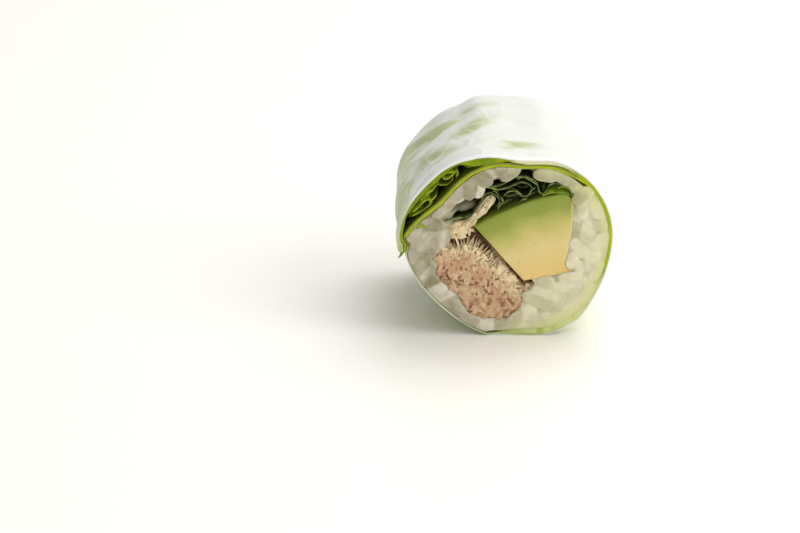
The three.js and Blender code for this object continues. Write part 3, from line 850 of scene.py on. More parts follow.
def green_share(turns, y):
    """How much green comes through the paper, from 0 to 1."""
    round_mm = np.mod(turns, 1) * AROUND
    along, across = slanted(round_mm, y)
    warp = 2.5 * noise(field(round_mm / 14, y / 14, 1), 31)
    blotch = noise(field(along / 13, (across + warp) / 4.2, 2), 32)
    smaller = noise(field(along / 6, (across + warp) / 2.0, 3), 33)
    further_up = 0.05 * smoothstep(-8, 12, y)
    on_top = smoothstep(0.07, 0.12, turns - further_up) * falling(0.5, 0.62, turns)
    # More green low on the left: the leaf shows through there, and the rest is painted shade on
    # that side.
    around = 0.78 + 0.4 * blotch + 0.25 * smaller + 0.5 * on_left(turns)
    top = 0.1 + 0.12 * blotch + 0.08 * smaller
    frayed = 2.2 * noise(field(round_mm / 5.5, y / 2.6, 5), 34)
    for middle_round, middle_y, heading, length, width, strength in CLINGING_SPOTS:
        to_round, to_y = round_mm - middle_round, y - middle_y + frayed
        forward = (to_round * math.cos(heading) + to_y * math.sin(heading)) / length
        sideways = (to_y * math.cos(heading) - to_round * math.sin(heading)) / width
        spot = strength * np.exp(-1.1 * (forward**2 + sideways**2))
        top = np.maximum(top, spot * (1 + 0.25 * smaller))
    return np.clip(around * (1 - on_top) + top * on_top, 0, 1)


def add_wound_leaf(name, material, turns, y, depth, thickness, pale, edge):
    """A leaf wound into the roll, with how pale and how near a bright cut edge each point is."""
    points, faces = strip_mesh(wrapped(turns, depth, y), wrapped(turns, depth + thickness, y))
    add_piece(name, points, faces, material, [name],
              {"pale": both_faces(pale), "edge": both_faces(edge)})


def add_lettuce_leaf(material):
    rows, columns = 44, 420
    even = np.linspace(*LETTUCE, columns)
    y = cut_stations(even * AROUND, rows, 0.16, 0.16, 51)
    behind_cut = from_nearest_cut(y)
    drawn_in = 0.006 + 0.006 * noise(field(y / 6, 0.3, 0.7), 59)
    drawn_in = 0.006 + drawn_in * smoothstep(0.5, 4, behind_cut)
    turns = even + drawn_in * np.exp(-(even - LETTUCE[0]) / 0.015)
    round_mm = turns * AROUND
    doubled = folded_over(turns)
    frilly = noise(field(round_mm / 1.8, y / 5, 0.2), 52)
    torn = noise(field(round_mm / 3.1, y / 4, 0.8), 54)
    thickness = LEAF * (1 + 0.4 * frilly) + 1.25 * doubled * (1 + 0.15 * torn)
    thickness = thickness + 0.35 * between(turns, *LEAF_IN_POCKET) * (1 + torn)
    thickness = thickness + rib_thickness(turns) * (1.05 + 0.12 * torn)
    thickness = thickness + 0.24 * between(turns, *LEAF_THICK_ON_TOP)
    thickness = thickness + 0.42 * between(turns, *LEAF_THICK_ON_RIGHT)
    thickness = thickness * (1 - 0.25 * between(turns, *LEAF_DRAWN_THIN))
    thickness = thickness * (0.85 + 0.15 * smoothstep(0, 1.2, from_ends(even, *LETTUCE)))
    thickness = thickness * (1 - 0.65 * smoothstep(0.76, LETTUCE[1], turns))
    hooked_out = 2.6 * bell(turns, -0.011, 0.0055)
    depth = under_sheet(turns) + hook(turns) - CLINGING - hooked_out
    top = between(turns, *LEAF_PALE_ON_TOP)
    low = smoothstep(0.53, 0.6, turns)
    bits = noise(field(round_mm / 2.2, y / 3, 2), 53)
    bits = bits + 0.5 * noise(field(round_mm / 0.9, y / 2, 4), 58)
    low = low * np.clip(0.85 - 0.8 * np.maximum(bits - 0.35, 0), 0.6, 1)
    low = low * (1 - 0.45 * smoothstep(0.71, 0.77, turns))
    in_pocket = 0.55 + 0.45 * smoothstep(0.03, 0.07, turns)
    in_pocket = in_pocket * falling(0.18, 0.22, turns)
    rimmed = 1 - np.maximum(top, smoothstep(0, 0.5, low))
    edge = falling(0.1, 0.8, behind_cut) * rimmed
    # Low on the right, bits of the leaf take the bright cut-edge colour: painted light where light
    # comes through the leaf.
    bright = 0.2 * low + 0.8 * low * np.clip(bits, 0, 1)
    # Where the leaf lies double and in the pocket, most of that edge light is taken away: painted
    # shade there.
    edge = np.maximum(edge, bright) * (1 - 0.75 * np.maximum(doubled, in_pocket))
    add_wound_leaf("lettuce_leaf", material, turns, y, depth, thickness,
                   np.clip(0.95 * top + low, 0, 1), edge)


def add_lettuce_inner(material):
    rows, columns = 44, 200
    even = np.linspace(*INNER_LETTUCE, columns)
    y = cut_stations(even * AROUND, rows, 0.12, 0.16, 55)
    turns = even + 0 * y
    frilly = noise(field(turns * AROUND / 2, y / 5, 0.2), 56)
    ends = from_ends(even, *INNER_LETTUCE)
    thickness = LEAF * (1.25 + 0.3 * frilly) * (0.4 + 0.6 * smoothstep(0, 0.9, ends))
    depth = under_sheet(turns) - CLINGING - 0.45 * smoothstep(1.37, 1.39, turns)
    pale = np.clip(0.2 + 0.3 * noise(field(turns * AROUND / 4, y / 7, 1), 57), 0, 1)
    edge = falling(0.1, 0.9, from_nearest_cut(y))
    add_wound_leaf("lettuce_inner", material, turns, y, depth, thickness, pale, edge)


def add_lettuce_fold(material):
    rows, columns = 40, 320
    even = np.linspace(0, 1, columns)
    y = cut_stations((FOLD_FROM + (FOLD_TO - FOLD_FROM) * even) * AROUND, rows, 2.6, 1.2, 61)
    along = even + 0 * y
    turns = FOLD_FROM + (FOLD_TO - FOLD_FROM) * along
    top = PAPER + GAP + LEAF * 1.6 + GAP + 1.25 * folded_over(turns)
    room = sheet_depth(turns + 1) - top - GAP - FOLD_THICKNESS
    wander = 0.22 * noise(field(y / 6, along * 3, 0.1), 62)
    phase = FOLD_WAVES * along + FOLD_WANDER * y / ROLL_LENGTH + wander
    share = 0.5 - 0.5 * np.cos(2 * math.pi * phase)
    depth = top + share * np.maximum(room, 0)
    thickness = FOLD_THICKNESS * (0.75 + 0.35 * noise(field(along * 9, y / 3, 0.6), 63))
    edge = falling(0.1, 0.8, np.minimum(y - y[0], y[-1] - y))
    add_wound_leaf("lettuce_fold", material, turns, y, depth, thickness, 0 * y,
                   edge)


# ------------------------------------------------------------------ thin leaves
# Leaves in section: the line of the rim at the cut, and how far the blade shifts behind it.
POCKET_LEAVES = [
    ([(-22.4, 32.2), (-21.4, 33.0), (-20.3, 34.1), (-19.4, 35.1), (-18.6, 35.4), (-18.0, 35.0),
      (-18.3, 34.0)], (-0.8, 1.6)),
    ([(-19.4, 35.7), (-18.4, 36.9), (-17.2, 38.0), (-16.4, 39.3), (-15.9, 40.6), (-15.0, 41.5),
      (-13.6, 42.2), (-12.3, 42.4)], (-1.2, 1.2)),
    ([(-15.6, 41.0), (-14.8, 40.4), (-13.8, 40.5), (-13.0, 41.2), (-12.3, 42.2), (-11.7, 42.6),
      (-11.4, 41.9), (-11.9, 41.0)], (-0.3, 1.7)),
    ([(-21.9, 34.2), (-20.9, 35.6), (-19.8, 36.9), (-18.5, 38.2)], (0.7, -1.0)),
    ([(-20.6, 34.9), (-19.6, 36.2), (-18.6, 37.3), (-17.6, 38.0)], (0.2, 1.4)),
    ([(-22.7, 31.2), (-21.3, 31.9), (-19.9, 32.6), (-18.5, 33.8), (-17.5, 34.9)], (0.9, 1.0)),
    ([(-18.0, 34.9), (-17.3, 35.7), (-16.7, 36.7)], (0.5, 0.6)),
    ([(-23.3, 31.5), (-22.7, 32.8), (-21.9, 33.9)], (0.5, 0.9)),
]
HERB_CURLS = [
    ([(2.7, 40.7), (4.3, 41.1), (5.8, 40.5), (6.8, 39.9), (7.7, 39.3)], (0.0, 0.9)),
    ([(-1.1, 38.1), (0.3, 38.3), (1.8, 38.3), (2.9, 37.7), (3.7, 37.0), (4.6, 36.2)],
     (0.0, -0.9)),
    ([(5.3, 35.9), (5.9, 36.9), (6.5, 37.9), (7.2, 38.3)], (0.4, 0.4)),
    ([(-3.2, 37.5), (-2.4, 37.3), (-1.7, 36.4), (-0.8, 35.4), (-0.6, 34.8), (-1.2, 33.9),
      (-1.9, 32.9)], (0.5, 0.3)),
    ([(-2.2, 36.5), (-1.6, 35.6), (-1.3, 34.7), (-1.9, 33.6)], (0.6, 0.2)),
    ([(3.2, 34.9), (4.2, 35.7), (5.2, 35.8)], (0.2, 0.6)),
]
# Herb leaves on the right that face the light; their lighter finish is painted light.
LIT_HERB_LEAVES = [
    ([(8.9, 36.3), (10.0, 36.8), (11.3, 37.1), (12.8, 37.2), (14.3, 37.1), (15.7, 36.6)],
     (0.2, 2.4)),
    ([(12.6, 38.4), (14.0, 38.7), (15.4, 38.0)], (0.0, 1.2)),
    ([(14.5, 39.2), (15.4, 38.3), (15.9, 37.0), (16.1, 35.4)], (0.1, 0.4)),
    ([(-5.6, 38.4), (-4.2, 38.4), (-2.8, 38.1), (-1.8, 37.6)], (-0.2, 1.0)),
]
# Herb leaves deep in the hollow; in the near-black herb finish they paint the hollow's shade.
HERB_BED = [(line, (0, 0)) for line in [
    [(-8.4, 35.4), (-5.2, 37.4), (-1.6, 38.6), (1.6, 40.0), (4.6, 40.4), (7.4, 39.2)],
    [(-1.0, 37.2), (1.2, 36.6), (3.2, 37.8), (5.2, 36.9), (7.6, 37.8), (9.6, 37.2)],
    [(6.4, 39.6), (8.4, 38.4), (10.6, 39.4), (12.6, 38.6), (14.8, 38.6), (16.2, 37.4)],
    [(-2.6, 35.4), (-1.0, 34.4), (0.6, 35.4), (2.2, 35.2)],
    [(0.6, 40.9), (3.0, 41.9), (5.6, 41.8), (7.4, 40.8)],
    [(2.2, 39.0), (4.6, 38.8), (6.6, 40.0), (8.8, 39.8), (10.8, 38.4)],
    [(-12.9, 31.9), (-11.4, 33.5), (-9.6, 35.0), (-8.0, 36.4)],
]]
ON_THE_TUNA = [
    ([(-15.4, 29.8), (-13.8, 30.2), (-11.9, 30.5), (-9.8, 30.8), (-8.6, 31.3), (-7.8, 31.9)],
     (0.0, 0.2)),
]


def thin_strip(line, lean, thickness, inset, droop, seed):
    """Both faces of a thin leaf along a line in section, and how far it is from its cut edges.

    Its edges start so far behind the cuts, wander, and hang down a little.
    """
    rows, count = 32, 8 * len(line)
    middle = spline(line, False, count)
    normal = left_normals(middle)
    along = np.arange(count) * np.linalg.norm(middle[1] - middle[0])
    y = cut_stations(along + 31 * seed, rows, inset + 0.35, 0.3 + 0.5 * inset, 71)
    behind = np.minimum(y - y[0], y[-1] - y)
    sway = 0.14 * np.sin(y / 5 + seed) + 0.2 * noise(field(along / 2.2, y / 2.6, seed), 72)
    sway = sway - droop * np.exp(-behind / 1.8)
    shifted = 1 - np.exp(-behind / 2.5)
    ends = np.minimum(np.arange(count), np.arange(count)[::-1]) / 5
    half = thickness / 2 * (0.35 + 0.65 * smoothstep(0, 1, ends))
    half = half * (1 + 0.3 * noise(field(along / 1.5, y / 4, seed), 73))
    outer, inner = (
        field(middle[:, 0] + normal[:, 0] * out + lean[0] * shifted, y,
              middle[:, 1] + normal[:, 1] * out + lean[1] * shifted)
        for out in (half + sway, -half + sway)
    )
    return outer, inner, behind


def kept_in_pocket(points):
    """Presses points that come too near the outer leaf or the inner sheet back into the pocket."""
    flat = points[:, [0, 2]]
    nearest = in_parts(
        lambda part: np.linalg.norm(part[:, None] - rim, axis=2).argmin(axis=1), flat)
    turn = nearest / RIM_STEPS
    depth = ((rim[nearest] - flat) * rim_normals[nearest]).sum(axis=1) + swell(turn, points[:, 1])
    shallowest = PAPER + GAP + LEAF * 1.4
    deepest = np.maximum(sheet_depth(turn + 1) - GAP, shallowest + 0.1)
    moved = np.clip(depth, shallowest, deepest) - depth
    flat = flat - rim_normals[nearest] * moved[:, None]
    return field(flat[:, 0], points[:, 1], flat[:, 1])


def add_thin_leaves(name, leaves, thickness, material, replaces=(), inset=0.0, droop=0.0,
                    in_pocket=False):
    bodies, edges = [], []
    for seed, (line, lean) in enumerate(leaves):
        outer, inner, behind = thin_strip(line, lean, thickness, inset, droop, seed + len(name))
        points, faces = strip_mesh(outer, inner)
        bodies.append((kept_in_pocket(points) if in_pocket else points, faces))
        lit = 0.6 + 0.6 * noise(field(outer[..., 0] / 1.1, seed, outer[..., 2] / 1.1), 74)
        edges.append(both_faces(falling(0.05, 0.4, behind) * np.clip(lit, 0.1, 1)))
    points, faces = joined(bodies)
    edge = np.concatenate(edges)
    add_piece(name, points, faces, material, replaces, {"pale": 0 * edge, "edge": edge})


# ------------------------------------------------------------------ avocado
def quadratic(start, pull, end, count):
    """A line from start towards end, without its end, bent towards the place that pulls it."""
    s = np.linspace(0, 1, count, endpoint=False)[:, None]
    a, b, c = (np.array(p, float) for p in (start, pull, end))
    return a * (1 - s) ** 2 + 2 * b * s * (1 - s) + c * s**2


def avocado_outline():
    """The wedge in section, anticlockwise from its thin end."""
    return np.vstack([
        quadratic(AVOCADO_TIP, np.add(AVOCADO_TIP, AVOCADO_FOOT) / 2, AVOCADO_FOOT, 90),
        quadratic(AVOCADO_FOOT, np.add(AVOCADO_FOOT, AVOCADO_HEEL) / 2, AVOCADO_HEEL, 48),
        quadratic(AVOCADO_HEEL, (16.0, 16.3), AVOCADO_NIB, 14),
        quadratic(AVOCADO_NIB, (15.2, 17.2), AVOCADO_WAIST, 16),
        quadratic(AVOCADO_WAIST, (16.7, 25.4), AVOCADO_FLANK, 64),
        quadratic(AVOCADO_FLANK, AVOCADO_CORNER, AVOCADO_SHOULDER, 24),
        quadratic(AVOCADO_SHOULDER, AVOCADO_CROWN, AVOCADO_TIP, 88),
    ])


# The wedge's knife edges are a little worn: how far behind the cut, and how far drawn in there.
WORN_EDGE = [(0.05, 0.42), (0.16, 0.2), (0.4, 0.05), (0.8, 0.0)]
RIPE_CORNER = (17.0, 17.2)


def add_avocado(material):
    outline = avocado_outline()
    outward = -left_normals(outline, True)
    behind, drawn_in = np.array(WORN_EDGE).T
    middle_y = np.linspace(-HALF + 1.4, HALF - 1.4, 32)
    y_values = np.concatenate([-HALF + behind, middle_y, HALF - behind[::-1]])
    inset = np.concatenate([drawn_in, 0 * middle_y, drawn_in[::-1]])
    place = field(outline[:, 0] / 3, y_values[:, None] / 5, outline[:, 1] / 3)
    dents = 0.1 * noise(place, 81) - 0.1 - inset[:, None]
    points, faces = block([outline], y_values, 0.7, outward[None] * dents[..., None])
    x, y, z = points.T
    on_face = smoothstep(HALF - 0.5, HALF - 0.1, np.abs(y)) * np.sign(y)
    uneven = noise(field(x / 6, np.sign(y), z / 6), 82) + 0.4 * noise(field(x / 2, 3, z / 2), 83)
    points[:, 1] = y - on_face * (0.12 + 0.12 * uneven)
    skin = quadratic(AVOCADO_SHOULDER, AVOCADO_CROWN, AVOCADO_TIP, 60)
    side = np.clip(1 - (17.0 - x) / 1.1, 0, 1) * smoothstep(20, 24, z)
    ripe = np.exp(-((x - RIPE_CORNER[0]) ** 2 + (z - RIPE_CORNER[1]) ** 2) / 2.2)
    add_piece("avocado", points, faces, material, ["avocado"],
              {"depth_from_skin": away_from(points[:, [0, 2]], skin), "side": side, "ripe": ripe},
              crease=60)
    return outline


# ------------------------------------------------------------------ rice
ROOM_STEP = 0.4
ROOM_CORNER = (-28, -1)


def rice_room(outline, avocado):
    """How far each place in section is from the edge of the rice: a grid, and its slopes."""
    xs = np.arange(ROOM_CORNER[0], 28, ROOM_STEP)
    zs = np.arange(ROOM_CORNER[1], 49, ROOM_STEP)
    places = field(*np.meshgrid(xs, zs, indexing="ij"))[..., :2].reshape(-1, 2)
    room = clearance(places, outline)
    for hole in (HOLLOW_IN_RICE, SHADED_HOLLOW, avocado, TUNA):
        room = np.minimum(room, -clearance(places, hole))
    room = room.reshape(len(xs), len(zs))
    return room, *np.gradient(room, ROOM_STEP)


def at_places(grid, places):
    """Reads a grid of the rice's room at (n, 2) places."""
    at = (places - np.array(ROOM_CORNER)) / ROOM_STEP
    at = np.clip(at, 0, np.array(grid.shape) - 1.001)
    cell = at.astype(int)
    part = at - cell
    total = 0
    for i, j in ((0, 0), (0, 1), (1, 0), (1, 1)):
        weight = np.where(i, part[:, 0], 1 - part[:, 0]) * np.where(j, part[:, 1], 1 - part[:, 1])
        total = total + weight * grid[cell[:, 0] + i, cell[:, 1] + j]
    return total


# Grains that lie open on the cut: x, z, heading in degrees, length and width in mm, depth.
OPEN_GRAINS = [
    (-3.9, 41.7, 15, 4.8, 3.2, 1.0), (1.1, 42.3, 38, 6.4, 3.4, 0.9),
    (9.6, 41.8, -8, 6.0, 3.8, 1.0), (13.8, 40.9, -35, 5.2, 3.2, 1.5),
    (-9.4, 40.1, 24, 4.8, 3.2, 1.5), (-6.4, 38.6, 80, 5.8, 3.3, 0.9),
    (-9.4, 33.2, 22, 5.0, 2.7, 3.1), (-22.0, 26.8, 70, 5.4, 3.4, 1.0),
    (-19.0, 25.6, 60, 5.4, 3.4, 1.2), (-16.2, 24.9, 75, 6.2, 3.4, 0.9),
    (-14.8, 32.9, 39, 6.6, 2.8, 0.9), (-10.5, 36.5, 40, 6.2, 2.7, 1.0),
    (-4.3, 2.4, -8, 6.4, 2.9, 1.0), (5.0, 2.2, 0, 6.4, 2.9, 1.0),
    (16.5, 19.9, 74, 4.9, 2.8, 0.7), (9.6, 11.2, -15, 6.4, 3.6, 1.0),
    (15.2, 12.9, 10, 6.6, 3.6, 1.2), (6.2, 6.4, 60, 6.0, 3.4, 1.1),
    (19.9, 27.2, 85, 7.0, 3.6, 0.9), (22.0, 33.0, -62, 6.4, 3.3, 1.0),
    (18.8, 33.4, 82, 6.2, 3.2, 1.1), (21.4, 20.0, 72, 6.6, 3.5, 1.0),
    (16.3, 7.2, 28, 6.4, 3.4, 1.1), (11.6, 5.0, 4, 6.4, 3.3, 1.1),
    (19.3, 13.6, 55, 6.4, 3.5, 1.3), (-18.6, 16.9, 58, 6.4, 3.4, 1.0),
    (-21.4, 20.9, 76, 5.6, 3.2, 1.2), (-15.2, 11.7, -47, 6.4, 3.3, 1.1),
    (-11.9, 7.9, -35, 6.0, 3.0, 1.0), (-13.4, 37.8, 44, 5.2, 2.6, 2.0),
    (16.8, 38.8, -58, 5.2, 3.0, 1.3),
]
GRAIN_LAYERS = ((0.5, 1.2, 38), (2.6, 3.9, 64))  # least and most depth in mm, and how many
ON_END = 0.07  # the share of grains that stand nearly on end
PRESSINGS = 140
PRESSED_IN = 0.93  # how near two grains come, as a share of where round ones touch
FROM_WALL, FROM_CUT = 0.92, 0.35  # how near they come to the wrapping and the cut, in radii
YIELDS, YIELDS_AT_WALL = 0.32, 0.6  # how much of an overlap one pressing takes away
DEEPEST = 5.6


def strewn_grains(random, grid):
    """The open grains, and more in layers behind them: middles, headings and sizes."""
    middles, headings, sizes = [], [], []
    for x, z, heading, length, width, depth in OPEN_GRAINS:
        a = math.radians(heading)
        middles.append([x, z, depth])
        headings.append([math.cos(a), math.sin(a), 0.0])
        sizes.append([length, width])
    for low, high, wanted in GRAIN_LAYERS:
        found = 0
        while found < wanted:
            place = random.uniform([-26, 0], [26, 47])
            if at_places(grid, place[None])[0] < 0.9:
                continue
            turned, tipped = random.uniform(0, math.pi), random.normal(0, 0.16)
            if random.random() < ON_END:
                tipped = random.uniform(0.7, 1.2)
            middles.append([*place, random.uniform(low, high)])
            headings.append([math.cos(turned) * math.cos(tipped),
                             math.sin(turned) * math.cos(tipped), math.sin(tipped)])
            grown = random.normal(1, 0.06)
            sizes.append([GRAIN_LENGTH * 0.96 * grown, GRAIN_WIDTH * random.normal(1, 0.05)])
            found += 1
    return [np.array(v, float) for v in (middles, headings, sizes)]


def packed_grains(room, seed):
    """Places a face's grains and presses them apart: middles, headings and sizes."""
    grid, slope_x, slope_z = room
    middles, headings, sizes = strewn_grains(np.random.default_rng(seed), grid)
    free_to_move = np.arange(len(middles))[:, None] >= len(OPEN_GRAINS)
    radius = sizes[:, 1] / 2
    reach = sizes[:, 0] / 2 - radius
    balls_each = 3  # a grain is pressed as three balls along its length
    owner = np.repeat(np.arange(len(middles)), balls_each)
    ball = np.repeat(radius, balls_each)
    near_enough = (ball[:, None] + ball[None]) * PRESSED_IN
    other = owner[:, None] != owner[None]
    share = np.linspace(-1, 1, balls_each)
    for _ in range(PRESSINGS):
        balls = middles[:, None] + headings[:, None] * (reach[:, None] * share)[..., None]
        balls = balls.reshape(-1, 3)
        apart = balls[:, None] - balls[None]
        distance = np.linalg.norm(apart, axis=2) + 1e-6
        overlap = np.where(other, np.maximum(near_enough - distance, 0), 0)
        push = (apart / distance[..., None] * overlap[..., None]).sum(axis=1) * YIELDS
        flat, depth = balls[:, :2], balls[:, 2]
        short = np.maximum(ball * FROM_WALL - at_places(grid, flat), 0)
        uphill = np.stack([at_places(slope_x, flat), at_places(slope_z, flat)], axis=1)
        uphill /= np.linalg.norm(uphill, axis=1, keepdims=True) + 1e-6
        push[:, :2] += uphill * (short * YIELDS_AT_WALL)[:, None]
        push[:, 2] += np.maximum(ball * FROM_CUT - depth, 0) * YIELDS_AT_WALL
        push[:, 2] -= np.maximum(depth - DEEPEST, 0) * YIELDS_AT_WALL
        balls = (balls + push).reshape(-1, balls_each, 3)
        middles = np.where(free_to_move, balls.mean(axis=1), middles)
        run = balls[:, -1] - balls[:, 0]
        run /= np.linalg.norm(run, axis=1, keepdims=True)
        headings = np.where(free_to_move, run, headings)
    return middles, headings, sizes


def turned_body(s, radius, sides, reach):
    """A round body along its first axis: rings so wide at s, closed by points at its reach."""
    around = np.arange(sides) * 2 * math.pi / sides
    points = field(s[:, None], radius[:, None] * np.cos(around), radius[:, None] * np.sin(around))
    points = np.vstack([points.reshape(-1, 3), [[-reach, 0, 0], [reach, 0, 0]]])
    tips = len(points) - 2
    last = tips - sides
    faces = []
    for near in range(0, last, sides):
        for i in range(sides):
            a, b = near + i, near + (i + 1) % sides
            faces.append([a, b, b + sides, a + sides])
    for i in range(sides):
        j = (i + 1) % sides
        faces += [[j, i, tips], [last + i, last + j, tips + 1]]
    return points, faces


def grain_shape(sides, rings):
    """A unit grain: plump, with round ends."""
    s = np.sin(np.linspace(-0.5, 0.5, rings + 2)[1:-1] * math.pi)
    return turned_body(s, (1 - np.abs(s) ** 2.5) ** 0.5, sides, 1)


def oriented(shape, heading, size, random):
    """A unit grain, sized, bent and turned to its heading."""
    length, width, height = size
    points = shape * np.array([length / 2, width / 2, height / 2])
    bend = random.normal(0, 0.35)
    points[:, 1] += bend * (shape[:, 0] ** 2 - 0.4) * width / 3.3
    along = heading / np.linalg.norm(heading)
    up = np.cross(along, random.normal(0, 1, 3))
    up /= np.linalg.norm(up)
    side = np.cross(up, along)
    return points @ np.array([along, side, up])


STICKY_VOXEL = 0.34  # how finely the grains are melted together, in mm
CRUMBLY_VOXEL = 0.17  # and the bits of tuna


def melted(points, faces, voxel, passes):
    """Overlapping bodies made one skin, with soft creases where they meet."""
    mesh = bpy.data.meshes.new("melting")
    mesh.from_pydata((points * MM).tolist(), [], faces)
    body = bpy.data.objects.new("melting", mesh)
    bpy.context.scene.collection.objects.link(body)
    remesh = body.modifiers.new("one_skin", "REMESH")
    remesh.mode = "VOXEL"
    remesh.voxel_size = voxel * MM
    smooth = body.modifiers.new("soft_creases", "SMOOTH")
    smooth.factor = 0.5
    smooth.iterations = passes
    made = body.evaluated_get(bpy.context.evaluated_depsgraph_get()).to_mesh()
    skin = np.empty(len(made.vertices) * 3, np.float32)
    made.vertices.foreach_get("co", skin)
    corners = np.empty(len(made.loops), np.int32)
    made.loops.foreach_get("vertex_index", corners)
    body.to_mesh_clear()
    bpy.data.objects.remove(body)
    bpy.data.meshes.remove(mesh)
    return largest_part(skin.reshape(-1, 3).astype(float) / MM, corners.reshape(-1, 4))


def largest_part(points, quads):
    """Leaves out the closed bubbles inside a skin of quads."""
    label = np.arange(len(points))
    while True:
        lowest = label[quads].min(axis=1)
        grown = label.copy()
        np.minimum.at(grown, quads.ravel(), np.repeat(lowest, 4))
        grown = grown[grown]
        if (grown == label).all():
            break
        label = grown
    names, counts = np.unique(label[quads[:, 0]], return_counts=True)
    kept = quads[label[quads[:, 0]] == names[counts.argmax()]]
    used, renumbered = np.unique(kept, return_inverse=True)
    return points[used], renumbered.reshape(-1, 4)


def depth_last(points, faces):
    """A block whose y is the depth behind a cut, as points of x, z and depth."""
    return points[:, [0, 2, 1]], [face[::-1] for face in faces]


def round_fillings(fillings, margin):
    """One outline round several fillings, a margin outside them, clockwise."""
    x, z = -1, 22  # a place inside them all
    turns = -np.arange(160) * 2 * math.pi / 160
    out = np.arange(2, 32, 0.15)
    places = np.stack([x + np.cos(turns)[:, None] * out, z + np.sin(turns)[:, None] * out], -1)
    within = np.max([clearance(places.reshape(-1, 2), filling) for filling in fillings], axis=0)
    reach = np.where(within.reshape(places.shape[:2]) > -margin, out, 0).max(axis=1)
    return np.stack([x + np.cos(turns) * reach, z + np.sin(turns) * reach], axis=1)


def loosely_packed(x, z, starts):
    """From 0 to 1 up from a height, where the grains are loose at the top and upper left."""
    return smoothstep(starts, 36, z) * falling(6, 13, x)


def rice_backing(sign, hole):
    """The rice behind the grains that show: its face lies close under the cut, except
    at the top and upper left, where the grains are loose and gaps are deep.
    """
    depths = np.array([1.0, 3.4, 4.6, 5.8, 7.0])
    rims = [rice_outline(sign * (HALF - depth), -0.08) for depth in depths]
    shifts = [np.vstack([line - rims[0], 0 * hole]) for line in rims]
    points, faces = block([rims[0], hole], depths, 0.9, np.array(shifts))
    x, depth, z = points.T
    inside = clearance(points[:, [0, 2]], rims[0])
    loose = loosely_packed(x, z, 29)
    pressed = falling(0.2, 1.8, inside) * (1 - loose)
    packed = 0.8 + 1.85 * loose - 0.6 * pressed + 0.2 * noise(field(x / 2.6, sign, z / 2.6), 93)
    points[:, 1] = np.where(depth < 1.1, np.maximum(packed, 0.1), depth)
    return depth_last(points, faces)


def grain_at(places, middles, headings, sizes):
    """Which grain each place belongs to, and from 0 to 1 how near it is to the next grain."""
    radius = sizes[:, 1] / 2
    reach = sizes[:, 0] / 2 - radius

    def found(part):
        to = part[:, None] - middles[None]
        along = np.clip((to * headings).sum(axis=2), -reach, reach)
        off = np.linalg.norm(to - along[..., None] * headings, axis=2) - radius
        nearest = np.sort(off, axis=1)
        return np.column_stack([off.argmin(axis=1), nearest[:, 1] - nearest[:, 0]])

    owner, further = in_parts(found, places).T
    kept = smoothstep(-0.35, 0.6, noise(places / 2.3, 94))
    return owner.astype(int), np.exp(-further / 0.35) * (0.15 + 0.85 * kept)


def kept_within(points, outline):
    """Presses points that stand out of the rice's room back on its edge."""
    places, within = nearest_on(points[:, [0, 2]], outline)
    distance = np.linalg.norm(points[:, [0, 2]] - places, axis=1)
    points = points.copy()
    points[~within, 0] = places[~within, 0]
    points[~within, 2] = places[~within, 1]
    return points, np.where(within, distance, 0)


def rice_looks(points, inside, behind, middles, owner, seam, random):
    """What the rice's finish needs at every point: its tone with painted light and shade, its
    yellow-green tint near the wrapping, partly painted glow, and painted shade near the herbs and
    in the seams.
    """
    x, _, z = points.T
    # Near the wrapping on the right the rice takes a yellow-green tint: partly the leaf's colour
    # through the rice, partly painted glow of light through the leaf from the right.
    tint_reach = 1 + 0.55 * noise(points / 3.1, 95)
    to_right = smoothstep(-6, 10, x)
    leafward = np.clip(1 - inside / (4.2 * tint_reach), 0.3, 1) * to_right
    by_herbs = falling(0.0, 4.5, -clearance(points[:, [0, 2]], HERB_HOLLOW))
    above = smoothstep(38.5, 40, z) * smoothstep(-5, -1, x)
    # Grains behind the herbs on the left, and the top grains beside them, are painted darker:
    # painted shade from the herbs.
    painted_herb_shade = 0.8 * behind * by_herbs * falling(-6, -1, x)
    painted_herb_shade = painted_herb_shade + 0.28 * above * by_herbs
    leafward = leafward * (1 - 0.4 * above)
    clear = smoothstep(0.1, 0.7, noise(points / 4.2, 96))
    whiteness = 0.52 + 0.12 * random.normal(0, 1, len(middles))
    # Open grains at the cut are painted whiter and deep ones darker: painted light and shade by
    # how far in a grain lies.
    whiteness[:len(OPEN_GRAINS)] += 0.28
    whiteness[middles[:, 2] > 2.4] -= 0.3
    # Near the herbs, and most over and behind them, the tone is lowered: painted shade.
    over_herbs = np.maximum(behind, smoothstep(-6.5, -3.5, x))
    tone = whiteness[owner] - (0.15 + 0.45 * over_herbs) * by_herbs
    # Random clear patches take some whiteness away; the right is painted lighter and the left
    # darker: painted light and shade from the side the light comes from.
    tone = tone - 0.25 * clear * (1 - 0.5 * to_right) + 0.14 * to_right
    tone = tone - 0.34 * falling(-12, 4, x)
    # The seam shade is painted stronger on the left than on the right.
    seam = seam * (1.6 - 1.15 * to_right)
    return {"leafward": leafward, "tone": np.clip(tone, 0, 1), "seam": seam, "painted_herb_shade": painted_herb_shade}


